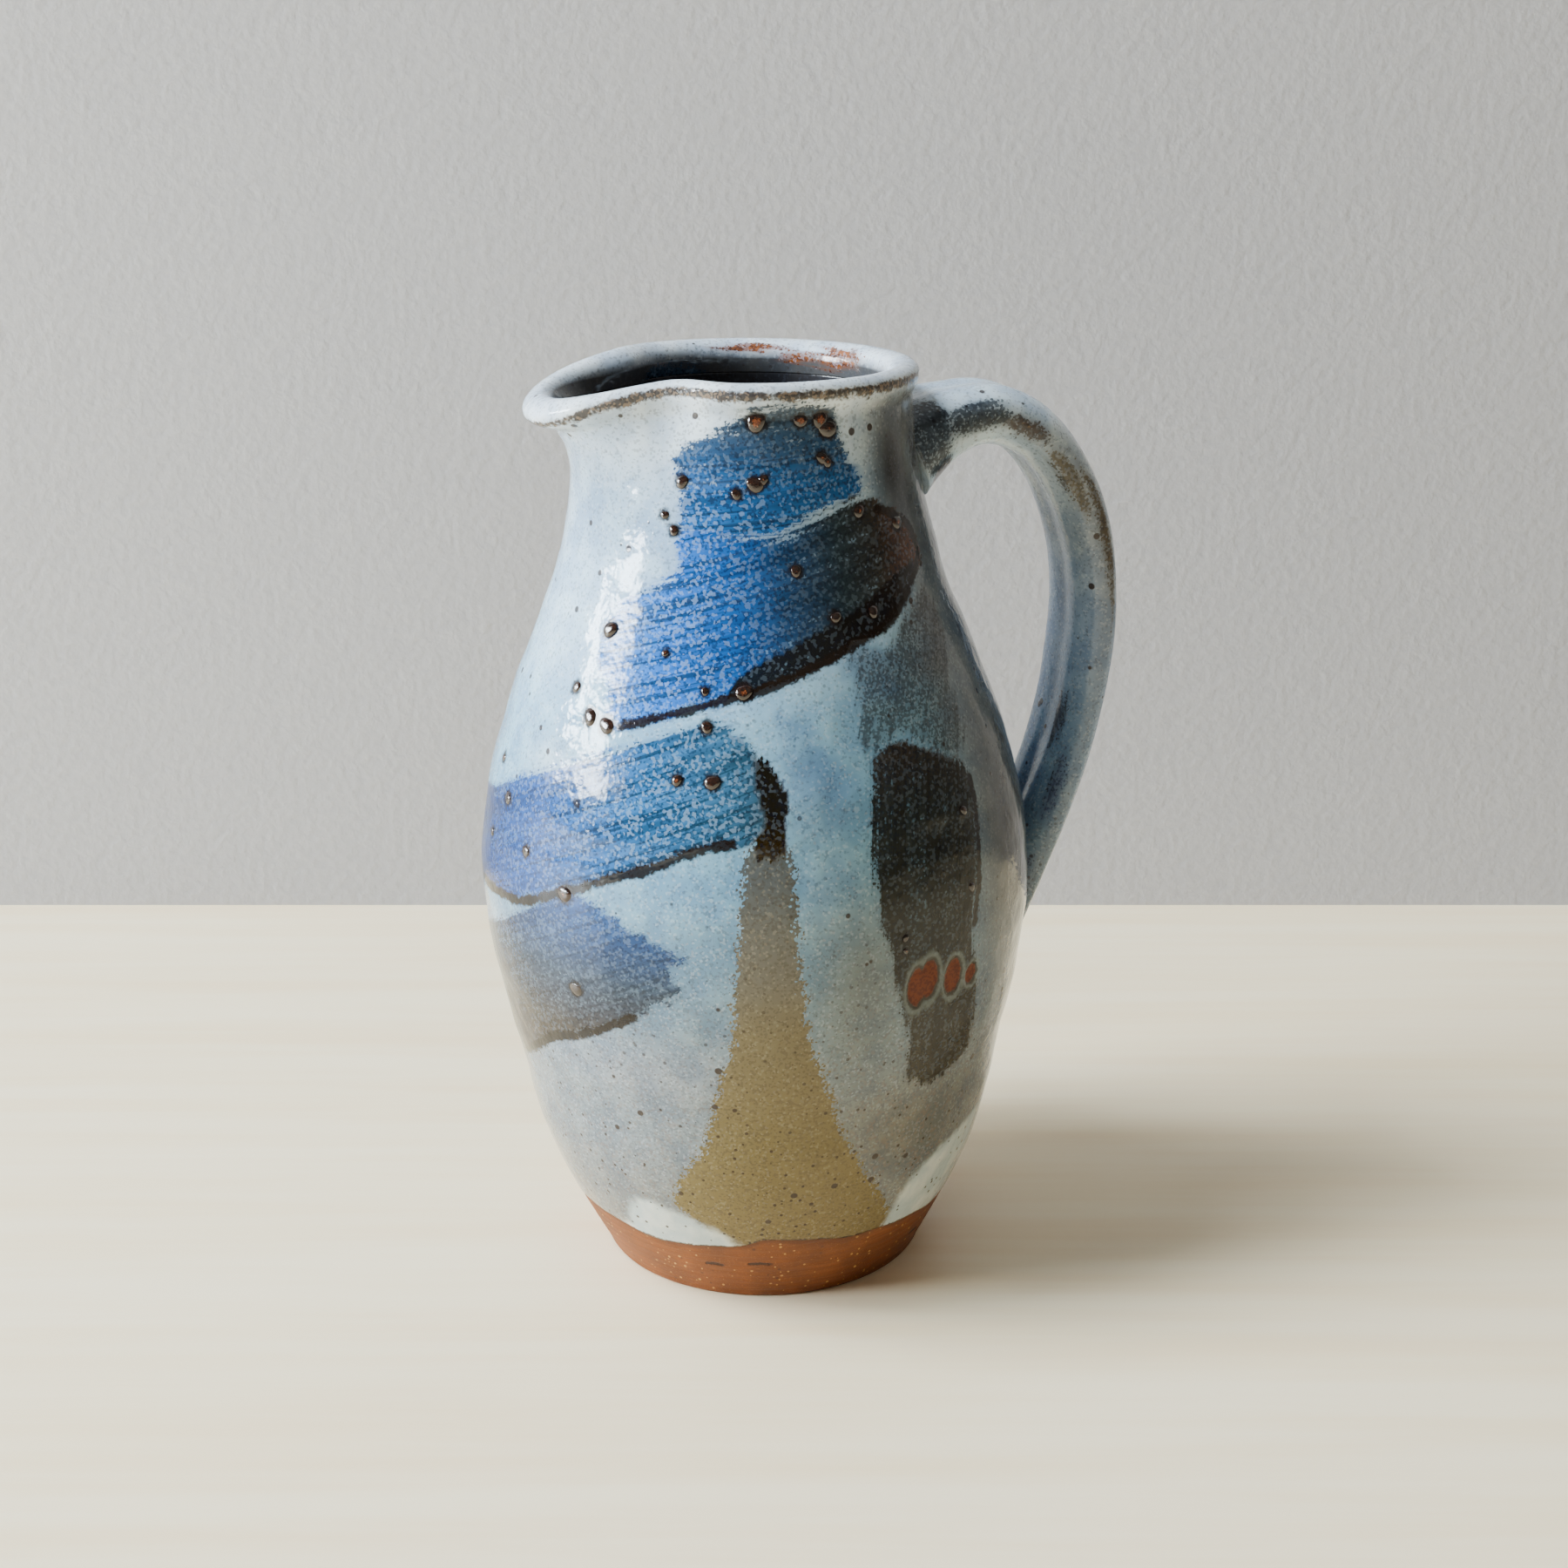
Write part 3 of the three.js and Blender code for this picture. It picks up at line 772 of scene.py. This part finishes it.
def blister_material():
    """Iron that boiled through the glaze: glossy brown-black with a rusty crown."""
    n = Nodes("iron_blister")
    crown, seed, _ = n.split(n.attribute("blister"))
    grain = n.noise(0.35, 2)
    top = n.step(n.add(crown, n.swing(grain, 0.5), n.times(seed, 0.5)), 0.62, 0.95)
    colour = n.between(grain, 0.4, 0.62, (20, 14, 13), (52, 30, 22))
    rust = n.between(grain, 0.4, 0.6, (84, 40, 18), (134, 72, 38))
    colour = n.mix(top, colour, rust)
    rough = n.add(0.1, n.times(top, 0.2))
    return n.finish(colour, rough, n.bump(grain, 0.06), IOR=1.6, Coat_Weight=0.4)


# ---- Pieces ----------------------------------------------------------

LIP_ROWS = 17  # rows of the outer coat over the lip
MIDDLE_BACK = 180  # turn of the middle of the far side


def glaze_edge(turn):
    """Height of the glaze's lower edge round the foot."""
    at, height = zip(*GLAZE_LINE_POINTS)
    near = turned_near(turn, 0)
    ripple = 0.25 * np.sin(np.radians(near * 11)) + 0.18 * np.sin(np.radians(near * 23 + 40))
    return np.interp(near, at, height) + ripple


def spiral(turn, height, pitch, phase=0):
    """A wave that climbs one pitch, in mm, each time round the pot."""
    return np.sin(2 * math.pi * (height / pitch - turn / 360) + phase)


def throwing_marks(turn, height):
    """Relief of the potter's fingers, a shallow spiral up the wall, in mm."""
    fine, broad = spiral(turn, height, 8.5), spiral(turn, height, 21, 1.2)
    uneven = np.sin(np.radians(2 * turn + height * 1.7))
    fade = smooth(height, 22, 45) * (1 - smooth(height, 192, 206))
    dent = hump(height - 166, 8)
    return fade * (0.035 * fine + 0.12 * broad + 0.12 * uneven - 0.35 * dent)


def make_outer_coat(material):
    angles = column_angles(COLUMNS)
    turn = np.degrees(angles) - FRONT
    line = glaze_edge(turn)[None]
    rise = np.concatenate([[0, 0.15, 0.4, 0.8], np.arange(1.5, 208 - GLAZE_LINE, 1.0)])[:, None]
    level = GLAZE_LINE + rise + (line - GLAZE_LINE) * np.exp(-((rise / 7) ** 2))
    climb = np.broadcast_to(station_at(level), (len(rise), COLUMNS))
    over = np.linspace(LIP_START, LIP_END, LIP_ROWS)[:, None] * np.ones(COLUMNS)
    stations = np.concatenate([climb, over])
    points = skin(stations, angles)
    out = outward(points)
    turns = np.broadcast_to(turn, stations.shape)
    height = points[..., 2]
    radius = np.hypot(points[..., 0] + LEAN * height, points[..., 1])
    art = Decoration(turns, height, np.radians(radius))

    # Where the glaze runs thin: the lip's outer edge, and the last of it above the foot.
    from_edge = np.concatenate([np.broadcast_to(rise, climb.shape), np.full(over.shape, 99.0)])
    from_back = np.abs(turned_near(turns, MIDDLE_BACK) - MIDDLE_BACK)
    rim = np.abs(stations - LIP_CREST) / 0.46 + 4 * smooth(from_back, 110, 60)
    art.marks[..., 2] = np.minimum(rim, from_edge / 0.75)
    # The top of the lip is washed near-white: partly the pale glaze, partly painted light on its upward
    # face.
    art.ground = wash(art.ground, (226, 238, 248), 0.9 * smooth(stations, 15.4, 17))
    # Painted shade: the inside of the lip, where it turns down into the pot, is washed dark.
    art.ground = wash(art.ground, (58, 54, 52), 0.95 * smooth(stations, 20.3, 21.2))

    # Rust where the pigment pooled on the far side of the lip.
    for at, wide, station, high in [(178, 13, 20.2, 0.45), (136, 11, 20.6, 0.8), (157, 9, 20.9, 0.3)]:
        x = (turned_near(turns, at) - at) / wide
        signed = 2.2 * (1 - np.hypot(x, (stations - station) / high))
        art.pigment[signed > art.stroke[..., 2]] = linear((138, 78, 36))
        art.stroke[..., 2] = np.maximum(art.stroke[..., 2], signed)

    blisters = place_blisters(art, points, out)
    bare = smooth(art.under[..., 2], -0.9, 0.3)
    rim_of_bare = hump(art.under[..., 2] + 1.2, 0.7)
    thinned = 0.32 * (1 - np.sqrt(1 - (1 - np.clip(from_edge / 1.2, 0, 1)) ** 2))
    lift = throwing_marks(turns, height) - 0.4 * bare + 0.15 * rim_of_bare - thinned
    front = points + out * lift[..., None]
    back = (front - out * GLAZE)[::3][::-1]
    grid = np.concatenate([front, back])
    faces = ring_faces(len(grid), COLUMNS, loop=True)
    coat = make_piece("outer_glaze_coat", grid, faces, material, ["outer_glaze"])
    put_layers(coat, ground=art.ground, pigment=art.pigment, khaki=art.khaki, stroke=art.stroke,
               under=art.under, marks=art.marks)
    return blisters


def place_blisters(art, points, out):
    """Picks each blister's vertex on the coat: (place, outward direction, radius)."""
    found = []
    repeats = FRONT_BLISTERS[14:33]
    far_side = [(turned_near(196 + a * 1.04, MIDDLE_BACK), z - 3, r) for a, z, r in repeats]
    for at, up, radius in FRONT_BLISTERS + far_side:
        own = turned_near(at, (art.turn.min() + art.turn.max()) / 2)
        away = np.hypot((art.turn - own) * 1.1, art.height - up)
        away[-LIP_ROWS:] = 1e9
        spot = np.unravel_index(np.argmin(away), away.shape)
        art.mark_blister(art.turn[spot], art.height[spot], radius)
        found.append((points[spot], out[spot], radius))
    return found


def make_blisters(found, material):
    """Low domes of boiled iron, each a little out of round."""
    rings = [(0.30, 1.0), (0.58, 0.88), (0.82, 0.62), (1.0, 0.22), (1.12, -0.25)]
    sides = 20
    random = np.random.default_rng(7)
    points, faces, marks = [], [], []
    around = np.arange(sides) * 2 * math.pi / sides
    for centre, out, radius in found:
        east = unit(np.cross((0, 0, 1.0), out))
        north = np.cross(out, east)
        tall = radius * random.uniform(0.26, 0.4)
        wobble = 1 + 0.1 * np.sin(2 * around + random.uniform(0, 6)) + 0.05 * np.sin(3 * around)
        on_neck = centre[2] > 197
        seed = random.uniform(-1.4, 0.2) + (0.6 if on_neck else 0)
        base = len(points)
        points.append(centre + out * tall)
        marks.append((1.0, seed, 0))
        for share, lift in rings:
            for angle, r in zip(around, radius * share * wobble):
                sideways = east * math.cos(angle) * r + north * math.sin(angle) * r
                points.append(centre + sideways + out * tall * lift)
                marks.append((1 - share, seed, 0))
        points.append(centre - out * 0.4)
        marks.append((0, seed, 0))
        faces += fan(base, base + 1, sides, False)
        faces += [[base + 1 + v for v in reversed(quad)] for quad in ring_faces(len(rings), sides)]
        faces += fan(len(points) - 1, len(points) - 1 - sides, sides, True)
    piece = make_piece("iron_blisters", points, faces, material, [])
    put_attribute(piece, "blister", marks)


def make_liner(material):
    """The glaze inside, from the lip down to the middle of the floor, and its hidden back."""
    columns = 240
    angles = column_angles(columns)
    last = len(sections(angles[:1])) - 1
    down = np.concatenate([np.linspace(22.2, 24, 8), np.linspace(24.3, last, 110)])
    stations = down[:, None] * np.ones(columns)
    points = skin(stations, angles)
    out = outward(points)
    sunk = 0.2 * (1 - smooth(stations, 22.4, 23.4))
    height = points[..., 2]
    turns = np.broadcast_to(np.degrees(angles) - FRONT, height.shape)
    ripple = 0.14 * spiral(turns, height, 9) * smooth(height, 205, 190)
    front = points + out * (ripple - sunk)[..., None]
    back_depth = GLAZE + 0.1
    hidden = np.linspace(0, len(stations) - 1, 60).astype(int)[::-1]
    back = (points - out * back_depth)[hidden]
    middle = np.array([-LEAN * FLOOR, 0, FLOOR])
    rings = np.array([15, 8, 3])[:, None, None]
    floor = middle + (front[-1] - middle) * rings / FLOOR_RADIUS
    floor[..., 2] = FLOOR + 0.12 * np.sin(rings[..., 0])
    ends = [middle - (0, 0, back_depth), middle]
    points, faces = capped(np.concatenate([back, front, floor]), ends)
    liner = make_piece("liner_glaze_coat", points, faces, material, ["liner_glaze"])
    # Painted shade: the liner is dark, and darkens from the lip down into the pot.
    stops = [
        (8, (40, 33, 28)), (60, (40, 33, 28)), (150, (38, 33, 30)), (180, (30, 28, 27)),
        (198, (41, 40, 45)), (206, (54, 53, 57)), (213, (72, 70, 70)),
    ]
    put_layers(liner, ground=colour_along(stops, points[:, 2]))


def make_clay_body(material):
    """The clay that shows at the foot and underneath, and carries the glaze above."""
    columns = 300
    angles = column_angles(columns)
    turn = np.degrees(angles) - FRONT
    heights = np.concatenate([np.arange(1.4, 23, 0.7), np.arange(26, 208, 9)])
    last = len(sections(angles[:1])) - 1
    stations = np.concatenate([station_at(heights), np.arange(LIP_START, last + 0.1, 0.5)])
    stations = stations[:, None] * np.ones(columns)
    points = skin(stations, angles)
    out = outward(points)
    buried = smooth(points[..., 2] - glaze_edge(turn)[None], 0.3, 1.6)
    inside = smooth(stations, LIP_START - 1, LIP_START)
    depth = 0.3 + (CLAY - 0.3) * np.maximum(buried, inside)
    turning = 0.06 * spiral(turn, points[..., 2], 2.3) * (1 - buried)
    wall = points + out * (turning - depth)[..., None]

    # The foot's edge is softened, and the underside keeps the swirl of the cutting wire.
    foot = wall[0]
    reach = np.hypot(foot[:, 0], foot[:, 1])
    rows = []
    for inset, rise in [(0.15, 0.75), (0.5, 0.25), (1.1, 0.02), (2.2, 0.0), (4.5, 0.0)]:
        ring = foot * ((reach - inset) / reach)[:, None]
        ring[:, 2] = rise
        rows.append(ring)
    hollow = 0.12
    for radius in np.arange(33, 1, -1.3):
        x, y = radius * np.cos(angles), radius * np.sin(angles)
        swirl = np.sin(y * 0.9 + 0.012 * x**2 + 0.04 * x)
        rows.append(np.stack([x, y, hollow + 0.1 * swirl * smooth(radius, 34, 30)], -1))
    grid = np.concatenate([np.array(rows)[::-1], wall])
    points, faces = capped(grid, [(0, 0, hollow), (-LEAN * FLOOR, 0, FLOOR - CLAY)])
    clay = make_piece("clay_body", points, faces, material, ["thrown_body"])

    # Drying cracks as (turn, height, half length in degrees), and the depth below the glaze's edge, for
    # its fringe and the painted shadow under it.
    turns = turned_near(np.degrees(np.arctan2(points[:, 1], points[:, 0])) - FRONT, 0)
    height = points[:, 2]
    crack = np.full(len(points), -NOTHING)
    foot_degree = 0.78  # mm round the foot for each degree of turn
    for at, up, half in [(-15, 10.8, 2.6), (-1, 11.8, 3.2), (58, 8.5, 2.2), (171, 11, 3), (-120, 9, 2)]:
        line = np.array([(at - half, up), (at, up + 0.25), (at + half, up - 0.1)])
        distance, _ = distance_to(line, turned_near(turns, at), height, foot_degree, False)
        crack = np.minimum(crack, distance / 0.6)
    shadow = np.where(height > 1, glaze_edge(turns) - height, -NOTHING)
    put_attribute(clay, "clay_marks", np.stack([crack, shadow, 0 * crack], -1))


# ---- The handle ------------------------------------------------------

HANDLE_LINE = [
    (24, 190.5), (38, 196.8), (47, 199.6), (58, 200.6), (68, 196), (76.5, 185.5), (82, 171.5),
    (84, 155), (82.5, 137), (78.5, 119), (72, 101.5), (64, 86), (54, 69), (43, 52),
]
HANDLE_WIDTHS = [(0, 27), (0.2, 25.5), (0.5, 25), (0.8, 24), (1, 25)]
HANDLE_THICKNESSES = [(0, 15), (0.16, 13), (0.24, 11.3), (0.4, 10), (0.7, 9), (1, 8)]


def centripetal(points, steps=60):
    """Dense points of a centripetal Catmull-Rom curve, its ends carried straight on."""
    p = np.vstack([2 * points[0] - points[1], points, 2 * points[-1] - points[-2]])
    p0, p1, p2, p3 = p[:-3], p[1:-2], p[2:-1], p[3:]
    gaps = np.linalg.norm(np.diff(p, axis=0), axis=1)[:, None] ** 0.5
    d0, d1, d2 = gaps[:-2], gaps[1:-1], gaps[2:]
    m1 = ((p1 - p0) / d0 - (p2 - p0) / (d0 + d1) + (p2 - p1) / d1) * d1
    m2 = ((p2 - p1) / d1 - (p3 - p1) / (d1 + d2) + (p3 - p2) / d2) * d1
    t = (np.arange(steps) / steps)[:, None, None]
    cubic, square = 2 * p1 - 2 * p2 + m1 + m2, -3 * p1 + 3 * p2 - 2 * m1 - m2
    dense = cubic * t**3 + square * t**2 + m1 * t + p1
    return np.vstack([dense.swapaxes(0, 1).reshape(-1, 3), p[-2]])


def handle_frames(shares):
    """The handle's centre line and outward direction at shares of its length."""
    points = np.array([(d - LEAN * h, 0, h) for d, h in HANDLE_LINE], float)
    dense = centripetal(points)
    travelled = np.concatenate([[0], np.cumsum(np.linalg.norm(np.diff(dense, axis=0), axis=1))])
    at = shares * travelled[-1]
    centre = np.stack([np.interp(at, travelled, dense[:, k]) for k in range(3)], -1)
    tangent = unit(np.gradient(centre, axis=0))
    out = np.stack([-tangent[:, 2], 0 * at, tangent[:, 0]], -1)
    return centre, out, travelled[-1]


def coil_swell(share):
    upper = 11 * np.clip(1 - share / 0.15, 0, None) ** 1.5
    return upper + 8 * np.clip(1 - (1 - share) / 0.34, 0, None) ** 1.5


def signed_power(x, power):
    return np.sign(x) * np.abs(x) ** power

def make_handle_coat(material):
    sides, steps = 112, 300
    share = np.linspace(0.055, 0.955, steps)[:, None]
    around = np.arange(sides) * 2 * math.pi / sides
    x = signed_power(np.cos(around), 0.8)
    y = signed_power(np.sin(around), 0.85) * (1 - 0.14 * hump(x, 0.28))
    centre, out, length = handle_frames(share[:, 0])
    swell = coil_swell(share)
    width = np.interp(share, *zip(*HANDLE_WIDTHS))
    thickness = np.interp(share, *zip(*HANDLE_THICKNESSES))
    lift = y * (thickness / 2 + CLAY + swell * np.where(y > 0, 0.35, 1.0))
    # Two shallow finger grooves down the outer face, and the drag of a wet hand.
    drag = 0.12 * np.sin(x * 9 + 0.8 * np.sin(share * 14)) * np.where(y > 0, 1.0, 0.6)
    drag = drag * (1 - np.abs(x) ** 4) + 0.1 * np.sin(share * 40) * np.abs(y)
    points = centre[:, None] + out[:, None] * (lift + drag * np.sign(y))[..., None]
    points[..., 1] = x * (width / 2 + CLAY + swell)

    # The ends stop inside the wall of the pot.
    ends_in = 2.6
    height = points[..., 2]
    from_axis = points[..., 0] + LEAN * height
    reach = np.hypot(from_axis, points[..., 1])
    wall = round_wall()
    least = np.interp(height, wall[:, 1], wall[:, 0]) - ends_in
    scale = np.maximum(1, least / np.maximum(reach, 1e-6))
    points[..., 0] = from_axis * scale - LEAN * height
    points[..., 1] *= scale

    points, faces = capped(points, [points[0].mean(0), points[-1].mean(0)], turned=True)
    clay_nodes = ["handle_glaze", "pulled_handle", "upper_luting_coil", "lower_luting_coil"]
    coat = make_piece("handle_glaze_coat", points, faces, material, clay_nodes)
    paint_handle(coat, share, x * width / 2, y, thickness, length)


def paint_handle(coat, share, across, face, thickness, length):
    """Glaze colours down the strap, and the oxide brushed on it.

    face is 1 on the outer face, 0 on the edges and -1 on the inner face.
    """
    share, face = np.broadcast_arrays(share, face)
    # Painted highlight: the glaze is lightest round share 0.16, at the top of the strap's bend, where
    # the light falls on it.
    stops = [
        (0.05, (190, 212, 232)), (0.16, (218, 238, 252)), (0.26, (196, 208, 218)),
        (0.36, (150, 162, 174)), (0.5, (144, 168, 200)), (0.64, (138, 170, 204)),
        (0.8, (122, 146, 164)), (0.96, (118, 144, 166)),
    ]
    ground = wash(colour_along(stops, share), (116, 112, 112), hump(face, 0.5) * 0.45)
    ground = wash(ground, (86, 96, 122), hump(across, 2.2) * (face < 0) * 0.3)

    # How far round the strap from the middle of its near edge, in mm: positive on the outer face.
    ring = np.stack([across, face * thickness / 2], -1)
    steps = np.linalg.norm(np.diff(ring, axis=1, prepend=ring[:, -1:]), axis=-1)
    girth = np.cumsum(steps, 1)
    girth = girth[:, face.shape[1] // 2, None] - girth
    # Patches of oxide as (share, place round, half length, half width, colour).
    patches = [
        (0.075, 3, 6, 8, (20, 28, 42)),
        (0.08, -9, 4, 6, (64, 42, 30)),
        (0.14, 1, 9, 3, (18, 25, 38)),
        (0.2, -0.5, 7, 2.4, (62, 46, 36)),
        (0.285, -2, 10, 1.8, (80, 68, 44)),
        (0.37, 2, 16, 1.2, (88, 76, 58)),
        (0.5, 5.5, 28, 1.6, (104, 88, 66)),
        (0.7, 5.5, 30, 1.6, (98, 82, 60)),
        (0.6, -8, 7, 1.8, (66, 68, 84)),
        (0.68, -3, 9, 1.6, (84, 96, 128)),
        (0.84, -2, 12, 2.2, (100, 110, 130)),
        (0.34, 13, 30, 2.2, (110, 98, 78)),
        (0.62, 22, 24, 2.0, (104, 108, 118)),
        (0.9, 12, 9, 6, (90, 76, 62)),
        (0.92, -12, 7, 5, (84, 70, 58)),
    ]
    signed = np.full(share.shape, NOTHING)
    pigment = plain_layer("pigment", share.shape)
    for at, aside, long, wide, colour in patches:
        ellipse = np.hypot((share - at) * length / long, (girth - aside) / wide)
        here = 1.5 * min(long, wide) * (1 - ellipse)
        pigment[here > signed] = linear(colour) * (1, 1, 1, 0.8)
        signed = np.maximum(signed, here)
    stroke = np.stack([share * length, across, signed], -1)
    marks = plain_layer("marks", share.shape)
    marks[..., 2] = np.abs(face) / 0.2 + 1.2 + 1.5 * np.sin(share * 31) ** 2
    put_layers(coat, ground=ground, pigment=pigment, khaki=ground, stroke=stroke, marks=marks)


# ---- Stage, light and camera -----------------------------------------


def aim(thing, place, target):
    thing.location = place
    thing.rotation_euler = (Vector(target) - Vector(place)).to_track_quat("-Z", "Y").to_euler()


CAMERA_PLACE = Vector((-0.1587, -0.5052, 0.2884))
CAMERA_TARGET = Vector((0.00495, -0.0016, 0.1148))
FORWARD = ((CAMERA_TARGET - CAMERA_PLACE) * Vector((1, 1, 0))).normalized()
RIGHT = Vector((FORWARD.y, -FORWARD.x, 0))


def make_camera():
    camera = bpy.data.objects.new("camera", bpy.data.cameras.new("camera"))
    camera.data.lens = 54
    camera.data.sensor_width = 36
    bpy.context.scene.collection.objects.link(camera)
    aim(camera, CAMERA_PLACE, CAMERA_TARGET)
    bpy.context.scene.camera = camera


def make_plane(name, corners, material):
    mesh = bpy.data.meshes.new(name)
    mesh.from_pydata(corners, [], [(0, 1, 2, 3)])
    mesh.materials.append(material)
    plane = bpy.data.objects.new(name, mesh)
    bpy.context.scene.collection.objects.link(plane)


def floor_material():
    """Pale bleached wood, its grain running across the view."""
    n = Nodes("pale_floor")
    turned = n.new("ShaderNodeMapping", {"Vector": n.place, "Rotation": (0, 0, 0.314)}).outputs[0]
    grain = n.noise(16, 4, 0.6, n.scaled(turned, (0.06, 1.0, 1.0)))
    colour = n.between(grain, 0.3, 0.75, (255, 240, 206), (249, 227, 186))
    return n.finish(colour, n.add(0.42, n.swing(grain, 0.1)), n.bump(grain, 0.1))


def wall_material():
    """Cool grey plaster, seen only from its front."""
    n = Nodes("grey_wall")
    plaster = n.noise(3, 3)
    colour = n.between(plaster, 0.3, 0.7, (178, 177, 180), (182, 181, 183))
    material = n.finish(colour, n.add(0.85, n.swing(plaster, 0.05)), n.bump(plaster, 0.3))
    behind = n.new("ShaderNodeNewGeometry").outputs["Backfacing"]
    clear = n.new("ShaderNodeBsdfTransparent").outputs[0]
    shown = n.new("ShaderNodeMixShader", {0: behind, 1: n.shader.outputs[0], 2: clear}).outputs[0]
    n.tree.links.new(shown, n.output.inputs["Surface"])
    return material


def make_stage():
    behind = 0.218  # from the pot's axis to the wall
    back = FORWARD * behind
    near = FORWARD * -3.0
    side = RIGHT * 3.0
    up = Vector((0, 0, 2.5))
    make_plane("floor", [near - side, near + side, back + side, back - side], floor_material())
    make_plane("wall", [back - side, back + side, back + side + up, back - side + up], wall_material())


def make_area(name, place, target, size, power, colour, mirrored=True):
    light = bpy.data.objects.new(name, bpy.data.lights.new(name, "AREA"))
    light.data.shape = "RECTANGLE"
    light.data.size, light.data.size_y = size
    light.data.energy = power
    light.data.color = colour
    light.visible_glossy = mirrored
    bpy.context.scene.collection.objects.link(light)
    aim(light, place, target)


def make_light():
    """A low window well off to the left with daylight round it, and a dim room elsewhere."""
    target = Vector((0, 0, 0.14))
    away = 2.4
    across = math.radians(86)  # how far round to the left of the camera the window is
    towards = -RIGHT * math.sin(across) - FORWARD * math.cos(across)
    beside = Vector((-towards.y, towards.x, 0))
    middle = target + towards * away + Vector((0, 0, away * math.tan(math.radians(14))))
    daylight = (0.84, 0.93, 1.0)
    for i, shift in enumerate((-0.45, 0.45)):
        pane = middle + beside * shift
        make_area(f"window_pane_{i}", pane, target, (0.74, 0.5), 118, daylight)
    glow = target + towards * 1.6 + Vector((0, 0, 2.3))
    make_area("window_glow", glow, target, (1.4, 1.0), 165, (0.86, 0.94, 1.0), False)
    room = RIGHT * 1.0 - FORWARD * 1.6 + Vector((0, 0, 1.6))
    make_area("room", room, target, (2.0, 2.0), 2.2, (1.0, 0.88, 0.72))
    world = bpy.data.worlds.new("room_light")
    world.use_nodes = True
    sky = world.node_tree.nodes["Background"]
    sky.inputs["Color"].default_value = (1.0, 0.9, 0.78, 1)
    sky.inputs["Strength"].default_value = 0.12
    bpy.context.scene.world = world


# ---- The pitcher -----------------------------------------------------

make_camera()
glaze = glaze_material("pale_glaze")
make_clay_body(clay_material())
blisters = make_outer_coat(glaze)
make_blisters(blisters, blister_material())
make_liner(glaze_material("liner_glaze", 0.16))
make_handle_coat(glaze)
make_stage()
make_light()
